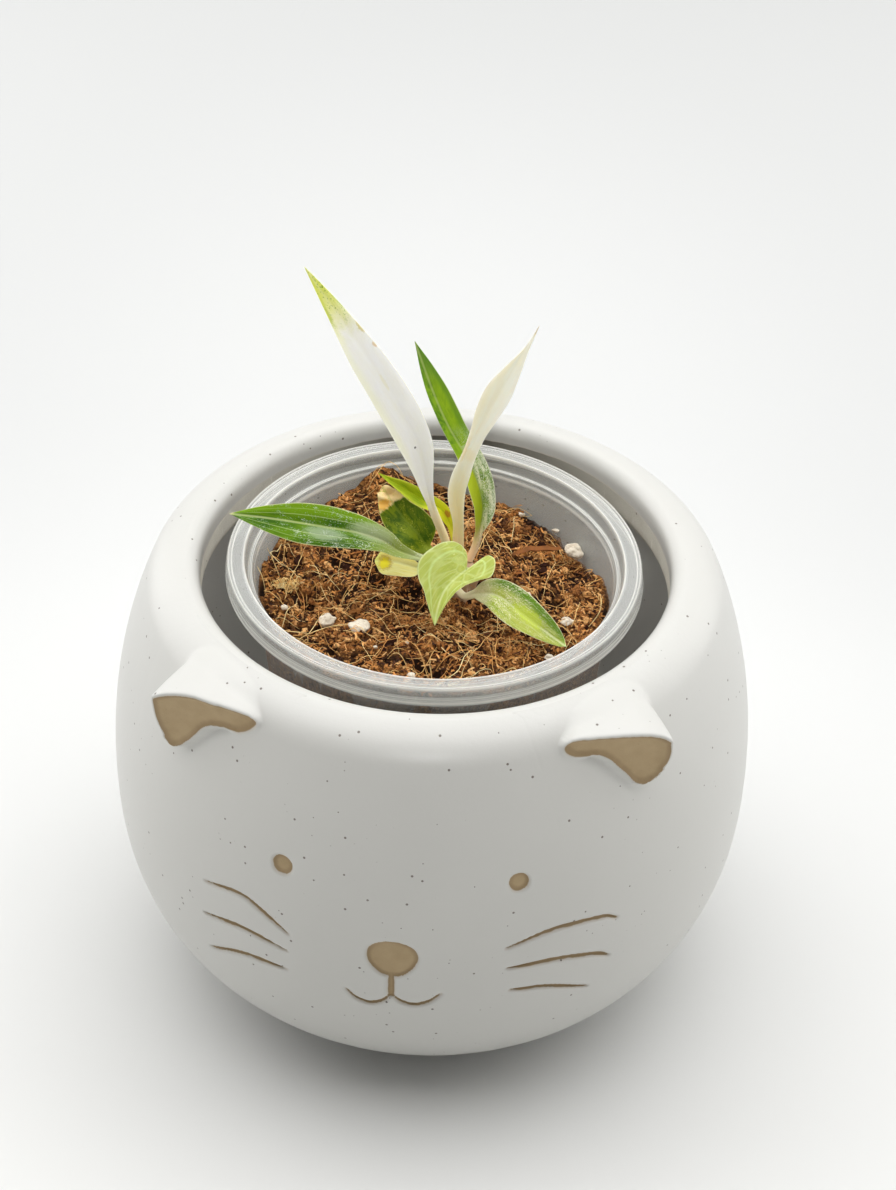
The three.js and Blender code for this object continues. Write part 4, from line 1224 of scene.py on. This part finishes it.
# One soft-edged blotch at a given spot of a leaf
def makeBlotGroup():
    names = ("Across", "Along", "Noise", "AtAcross", "AtAlong", "Wide", "Long")
    tree, given, out = group("leafBlot", [(name, 1.0) for name in names], ["Mask"])
    first = maths("DIVIDE", minus(given["Across"], given["AtAcross"]), given["Wide"])
    second = maths("DIVIDE", minus(given["Along"], given["AtAlong"]), given["Long"])
    away = maths("SQRT", plus(times(first, first), times(second, second)))
    away = plus(away, times(minus(given["Noise"], 0.5), 1.6))
    link(between(away, 1.15, 0.6), out["Mask"])


makeLeafGroup()
makeBlotGroup()


# One finish for each leaf. The marks and the tip are (colour, from, to), the rib and the edge (colour, amount), and the
# flecks (colour, from, to, and from where to where along the leaf they come in). A zone is (which coordinate, its sign,
# where it starts, where it fades in and out along the leaf, colour, amount), and a blot is (across, along, half width,
# half length, colour, amount).
leafLooks = {
    "leaf_cream_tall": {
        "ground": [(0.96, 0.92, 0.84), (0.98, 0.95, 0.89)], "marks": ((0.95, 0.91, 0.80), 0.56, 0.78),
        "rib": ((0.97, 0.94, 0.86), 0.2), "edge": ((0.90, 0.88, 0.52), 0.5), "tip": ((0.66, 0.70, 0.13), 0.68, 0.92),
        "base": (0.95, 0.80, 0.50), "flecks": ((0.16, 0.30, 0.02), 0.58, 0.66, 0.72, 0.86), "grain": 0.8, "glow": 0.8,
        "zones": [
            ("Side", -1, (0.45, 0.95), (0.05, 0.3, 1.1, 1.2), (0.93, 0.91, 0.58), 0.7),
            ("Side", -1, (0.50, 0.85), (0.76, 0.82, 0.93, 0.97), (0.12, 0.24, 0.02), 0.85),
        ],
        "blots": [
            (0.42, 0.87, 0.16, 0.07, (0.22, 0.36, 0.03), 0.7), (0.50, 0.735, 0.12, 0.028, (0.52, 0.42, 0.12), 0.75),
            (0.56, 0.655, 0.09, 0.012, (0.62, 0.36, 0.14), 0.7), (0.05, 0.52, 0.07, 0.035, (0.86, 0.80, 0.56), 0.4),
            (-0.11, 0.244, 0.05, 0.004, (0.10, 0.08, 0.06), 0.9),
        ],
    },
    "leaf_green_middle": {
        "ground": [(0.10, 0.24, 0.012), (0.26, 0.44, 0.02)], "mottled": True,
        "marks": ((0.34, 0.50, 0.04), 0.54, 0.74),
        "rib": ((0.56, 0.64, 0.22), 0.5), "edge": ((0.72, 0.76, 0.50), 0.8), "tip": ((0.10, 0.24, 0.03), 0.72, 1.05),
        "base": (0.78, 0.56, 0.36), "flecks": ((0.86, 0.90, 0.72), 0.42, 0.56, 0.58, 0.30), "fleckSide": 1,
        "grain": 1.25,
        "zones": [
            ("Across", 1, (0.02, 0.12), (0.35, 0.5, 0.75, 0.92), (0.33, 0.52, 0.01), 0.6),
            ("Side", 1, (0.5, 0.8), (-0.1, 0.0, 0.8, 1.0), (0.09, 0.22, 0.02), 0.6),
            ("Across", -1, (0.0, 0.05), (-0.05, 0.05, 0.36, 0.46), (0.52, 0.62, 0.03), 0.9),
        ],
    },
    "leaf_cream_twisted": {
        "ground": [(0.98, 0.88, 0.71), (0.98, 0.92, 0.78)], "marks": ((0.98, 0.84, 0.66), 0.55, 0.78),
        "rib": ((0.95, 0.86, 0.70), 0.12), "edge": ((0.86, 0.68, 0.46), 0.4), "tip": ((0.66, 0.50, 0.32), 0.95, 1.02),
        "base": (0.97, 0.70, 0.38), "flecks": ((0.90, 0.74, 0.52), 0.76, 0.85, 0, 0.1), "glow": 0.8,
        "zones": [
            ("Side", 1, (-3.0, -2.0), (-0.3, -0.2, 0.10, 0.44), (0.98, 0.74, 0.42), 0.85),
            ("Side", -1, (0.2, 0.9), (0.42, 0.5, 0.9, 1.0), (0.96, 0.80, 0.54), 0.6),
        ],
        # These two blots are painted shade along the crease where the blade twists at its waist
        "blots": [(0.0, 0.40, 0.5, 0.03, (0.88, 0.68, 0.42), 0.3),
            (-0.24, 0.42, 0.12, 0.06, (0.86, 0.60, 0.34), 0.45)],
    },
    "leaf_green_left": {
        "ground": [(0.04, 0.13, 0.003), (0.15, 0.30, 0.006)], "marks": ((0.24, 0.46, 0.03), 0.56, 0.76),
        "rib": ((0.70, 0.78, 0.34), 0.6), "lines": 0.5, "edge": ((0.72, 0.74, 0.34), 0.85),
        "tip": ((0.82, 0.72, 0.40), 0.96, 0.99), "base": (0.66, 0.72, 0.46),
        "flecks": ((0.82, 0.88, 0.74), 0.58, 0.70, 1.3, 0.05),
        "grain": 1.15,
        "zones": [
            ("Side", 1, (0.25, 0.7), (0.02, 0.2, 0.95, 1.05), (0.24, 0.44, 0.01), 0.75),
            ("Side", 1, (-3.0, -2.0), (-0.2, -0.1, 0.12, 0.36), (0.46, 0.56, 0.16), 0.75),
        ],
        "blots": [(-0.3, 0.50, 0.3, 0.10, (0.62, 0.72, 0.52), 0.45), (0.2, 0.27, 0.4, 0.12, (0.66, 0.74, 0.50), 0.5)],
    },
    "leaf_olive_back": {
        "ground": [(0.05, 0.11, 0.003), (0.19, 0.25, 0.006)], "mottled": True,
        "marks": ((0.07, 0.15, 0.004), 0.6, 0.75),
        "rib": ((0.28, 0.36, 0.03), 0.3), "edge": ((0.70, 0.66, 0.14), 0.75), "tip": ((0.94, 0.70, 0.36), 0.72, 0.77),
        "base": (0.36, 0.46, 0.06), "flecks": ((0.44, 0.46, 0.05), 0.60, 0.7, -1, -0.9),
        "zones": [("Side", 1, (0.2, 0.8), (0.05, 0.2, 0.8, 1.0), (0.07, 0.14, 0.004), 0.5)],
        "blots": [(-0.4, 0.80, 0.35, 0.07, (0.90, 0.46, 0.06), 0.8),
            (0.15, 0.90, 0.3, 0.05, (0.50, 0.30, 0.12), 0.5)],
    },
    "leaf_lime_narrow": {
        "ground": [(0.26, 0.35, 0.005), (0.40, 0.48, 0.01)], "marks": ((0.18, 0.30, 0.005), 0.52, 0.72),
        "rib": ((0.44, 0.52, 0.03), 0.5), "edge": ((0.66, 0.68, 0.08), 0.8), "tip": ((0.30, 0.36, 0.02), 0.85, 1.0),
        "base": (0.66, 0.64, 0.06), "flecks": ((0.40, 0.24, 0.04), 0.72, 0.78, 0.3, 0.1), "grain": 0.9,
        "zones": [
            ("Side", 1, (-3.0, -2.0), (-0.2, -0.1, 0.28, 0.42), (0.60, 0.62, 0.02), 0.9),
            ("Side", 1, (0.55, 0.9), (0.2, 0.3, 0.9, 1.0), (0.54, 0.60, 0.03), 0.7),
            ("Side", -1, (0.6, 0.9), (0.2, 0.3, 0.9, 1.0), (0.50, 0.56, 0.03), 0.6),
        ],
        "blots": [(0.1, 0.14, 0.16, 0.04, (0.42, 0.16, 0.03), 0.8)],
    },
    "leaf_yellow_stub": {
        "ground": [(0.95, 0.84, 0.26), (0.96, 0.92, 0.40)], "marks": ((0.90, 0.82, 0.24), 0.5, 0.7),
        "rib": ((0.92, 0.92, 0.50), 0.35), "edge": ((0.96, 0.95, 0.56), 0.7), "tip": ((0.84, 0.84, 0.20), 0.7, 1.0),
        "base": (0.74, 0.84, 0.34),
        "flecks": ((0.60, 0.44, 0.06), 0.66, 0.74, 0.5, 0.8),
        "blots": [(-0.08, 0.77, 0.36, 0.17, (0.52, 0.34, 0.03), 0.75),
            (-0.10, 0.78, 0.26, 0.125, (0.90, 0.78, 0.03), 0.95)],
    },
    "leaf_heart_front": {
        "ground": [(0.42, 0.49, 0.085), (0.52, 0.575, 0.13)], "mottled": True,
        "marks": ((0.34, 0.48, 0.06), 0.52, 0.76), "rib": ((0.78, 0.86, 0.44), 0.5),
        "edge": ((0.78, 0.86, 0.40), 0.7), "tip": ((0.38, 0.54, 0.07), 0.9, 1.0), "base": (0.52, 0.60, 0.20),
        "flecks": ((0.70, 0.78, 0.36), 0.64, 0.76, -1, -0.9), "net": ((0.72, 0.82, 0.36), 0.30),
        "rim": (0.66, 0.82, 0.34),
        "zones": [("Side", 1, (0.5, 0.95), (0.2, 0.5, 1.2, 1.3), (0.54, 0.64, 0.15), 0.5)],
    },
    "leaf_silver_front": {
        "ground": [(0.26, 0.37, 0.03), (0.46, 0.52, 0.09)], "marks": ((0.58, 0.66, 0.20), 0.50, 0.72),
        "rib": ((0.80, 0.84, 0.50), 0.6), "lines": 0.3, "edge": ((0.84, 0.86, 0.52), 0.85),
        "tip": ((0.24, 0.40, 0.03), 0.88, 1.0), "base": (0.82, 0.74, 0.50),
        "flecks": ((0.80, 0.78, 0.52), 0.50, 0.64, 1.25, 0.2), "grain": 1.2,
        "zones": [
            ("Side", -1, (0.35, 0.75), (0.14, 0.3, 0.9, 1.0), (0.10, 0.24, 0.015), 0.85),
            ("Side", 1, (-3.0, -2.0), (-0.2, -0.1, 0.12, 0.3), (0.78, 0.76, 0.46), 0.7),
        ],
        "blots": [(-0.12, 0.60, 0.28, 0.17, (0.60, 0.72, 0.08), 0.8)],
    },
}


def leafFinish(leaf, seed):
    look = leafLooks[leaf["name"]]
    made, tree = material(leaf["name"].replace("leaf_", "").replace("_", " ") + " leaf")
    _, length = leafFrames(leaf["spine"])
    bladeSize = length * (1 - leaf["blade"]) / 10
    place = attribute(tree, "leafPlace", "Vector")
    marks = grouped(
        tree, "leafMarks", {"Place": place}, Seed=float(seed) * 3.7, Length=bladeSize, Grain=look.get("grain", 1.0)
    )
    far = plus(marks["Along"], times(minus(marks["Mottle"], 0.5), 0.16))

    def laid(under, mask, amount, colour):
        return mixed(times(mask, amount), under, colour)

    ground = mixed(between(marks["Mottle" if "mottled" in look else "Broad"], 0.34, 0.66), *look["ground"])
    colour, *span = look["marks"]
    ground = mixed(between(marks["Streak"], *span), ground, colour)
    for by, sign, start, (a, b, c, d), colour, amount in look.get("zones", ()):
        mask = times(between(times(marks[by], sign), *start), between(far, a, b))
        ground = laid(ground, mask, between(far, c, d, amount, 0), colour)
    rib, ribAmount = look["rib"]
    if "lines" in look:
        ground = laid(ground, marks["Lines"], look["lines"], rib)
    colour, *span = look["tip"]
    ground = mixed(between(far, *span, 0, 0.92), ground, colour)
    colour, start, full, *over = look["flecks"]
    over = between(marks["Along"], min(over), max(over), *((0, 1) if over[0] < over[1] else (1, 0)))
    flecks = times(between(marks["Fleck"], start, full), over)
    if "fleckSide" in look:
        flecks = times(flecks, between(times(marks["Across"], look["fleckSide"]), -0.05, 0.1))
    ground = mixed(flecks, ground, colour)
    if "net" in look:
        colour, amount = look["net"]
        ground = laid(ground, marks["Net"], amount, colour)
    if "rim" in look:  # one pale vein that follows the edge
        away = absolute(minus(absolute(marks["Side"]), 0.68))
        ground = mixed(between(away, 0.06, 0.0, 0, 0.6), ground, look["rim"])
    ground = laid(ground, marks["Rib"], ribAmount, rib)
    for across, farAlong, wide, tall, colour, amount in look.get("blots", ()):
        links = {"Across": marks["Across"], "Along": marks["Along"], "Noise": marks["Fleck"]}
        blot = grouped(tree, "leafBlot", links, AtAcross=across, AtAlong=farAlong, Wide=wide, Long=tall)["Mask"]
        ground = laid(ground, blot, amount, colour)
    colour, amount = look["edge"]
    ground = laid(ground, marks["Edge"], amount, colour)
    ground = mixed(between(marks["Along"], -0.12, 0.1, 1, 0), ground, look["base"])
    surface(tree, {
        "Base Color": ground, "Roughness": 0.5, "Specular IOR Level": 0.14,
        "Subsurface Weight": look.get("glow", 0.25),
        "Subsurface Radius": (1.0, 1.0, 0.85), "Subsurface Scale": 0.0007,
    })
    height = plus(times(marks["Vein"], 0.03), marks["Streak"])
    if "net" in look:
        height = plus(height, times(marks["Net"], -0.5))
    bumped(height, 0.0001, 0.7)
    return made


for seed, leaf in enumerate(leaves):
    parts = [leafSkin(leaf)]
    if "stalk" in leaf:
        parts.append(stalkSkin(leaf))
    skin = joined(leaf["name"], parts)
    skin.data.materials.clear()
    skin.data.materials.append(leafFinish(leaf, seed))
    smoothed(skin, 75)
    words = leaf["name"].split("_")
    placed(skin, "leaf" + words[1].title() + words[2].title(), leaf["slot"], leaf["name"])
print("leaves made")


# The crown: a short stem with the marks of old sheaths
crown = {"profile": [(0, 92), (4, 92), (5, 95), (5.1, 99), (4.7, 101), (5.3, 102.4), (4.9, 103.3), (5.2, 104.4),
    (4.6, 105.3), (3, 105.7), (0, 105.6)]}


def makeCrown():
    stem = spun(crown["profile"], [(360, 48)], centre=crownSpot)
    stem = applied(stem, "SUBSURF", levels=2, render_levels=2)
    spots = points(stem)
    for k, spot in enumerate(spots):
        away = Vector((spot[0] - crownSpot[0], spot[1] - crownSpot[1], 0)) * 0.09
        spots[k] += np.array(away) * 3.5 * noise.noise(Vector((spot[0] * 0.6, spot[1] * 0.6, spot[2] * 0.22)))
    movePoints(stem, spots)
    made, tree = material("stem and old sheaths")
    spot = objectSpot(tree, (1, 1, 0.3))
    strand = cloud(spot, 900, 5)
    colour = mixed(strand, (0.30, 0.17, 0.09), (0.62, 0.44, 0.28))
    surface(tree, {"Base Color": colour, "Roughness": 0.6})
    bumped(strand, 0.0004)
    stem.data.materials.append(made)
    return smoothed(stem, 60)


placed(makeCrown(), "crownStem", "stem", "crown")
print("crown made")


# Floor and light
stage = {"floor": 4.0, "far": (0.605, 0.61, 0.605), "near": (0.885, 0.885, 0.865), "pale": (-0.86, -0.38),
    "front": (0.035, 0.033, 0.03), "behind": (0.78, 0.78, 0.77)}
floor = added(bpy.ops.mesh.primitive_plane_add, size=stage["floor"], location=(0, 0.6, 0))
floor.name = "floor"
paper, tree = material("white sweep with painted light falloff")
parts = node(tree, "ShaderNodeSeparateXYZ")
link(objectSpot(tree), parts.inputs[0])
# Painted light: the floor is paler in front of the pot and darker behind it, standing in for the fall of the light
near = between(parts.outputs[1], stage["pale"][0], stage["pale"][1], 1, 0)
surface(tree, {"Base Color": mixed(near, stage["far"], stage["near"]), "Roughness": 0.9})
floor.data.materials.append(paper)

# The room: dim in front, where the camera stands, and pale behind the pot
world = bpy.context.scene.world or bpy.data.worlds.new("studio")
bpy.context.scene.world = world
world.use_nodes = True
tree = world.node_tree
parts = node(tree, "ShaderNodeSeparateXYZ")
link(node(tree, "ShaderNodeTexCoord").outputs["Generated"], parts.inputs[0])
glow = between(parts.outputs[1], -0.35, 0.75)
link(mixed(glow, stage["front"], stage["behind"]), tree.nodes["Background"].inputs["Color"])
tree.nodes["Background"].inputs["Strength"].default_value = 1.0

def lamp(kind, name, place, aim=None, **settings):
    light = added(bpy.ops.object.light_add, type=kind, location=place)
    light.name = name
    for label, value in settings.items():
        setattr(light.data, label, value)
    if aim:
        light.rotation_mode = "QUATERNION"
        light.rotation_quaternion = (Vector(place) - Vector(aim)).to_track_quat("Z", "Y")
    return light


# A light tent: bright above and softer at both sides
lamp("AREA", "tentTop", (0.0, 0.22, 1.25), (0, 0.22, 0), size=1.6, energy=18.8)
lamp("AREA", "tentLeft", (-0.8, 0.28, 0.40), (0, 0.08, 0.14), size=0.9, energy=4.3)
lamp("AREA", "tentRight", (0.8, 0.28, 0.40), (0, 0.08, 0.14), size=0.9, energy=3.7)
# A soft spot from over the camera that falls on the leaves and the soil only
lamp(
    "SPOT", "leafSpot", (0.05, -0.75, 0.70), (-0.003, 0.01, 0.138),
    energy=38.0, spot_size=math.radians(7.0), spot_blend=0.45, shadow_soft_size=0.12,
)
# A little light down between the cup and the pot, where the room's own light would reach through the plastic
for x, y in ((0.05, 0), (-0.05, 0), (0.035, -0.037), (-0.035, -0.037)):
    light = lamp("POINT", "gapGlow", (x, y, 0.07), energy=0.006, shadow_soft_size=0.006)
    light.visible_camera = False
    light.visible_glossy = False
bpy.context.scene.view_settings.view_transform = "Standard"
print("light set")
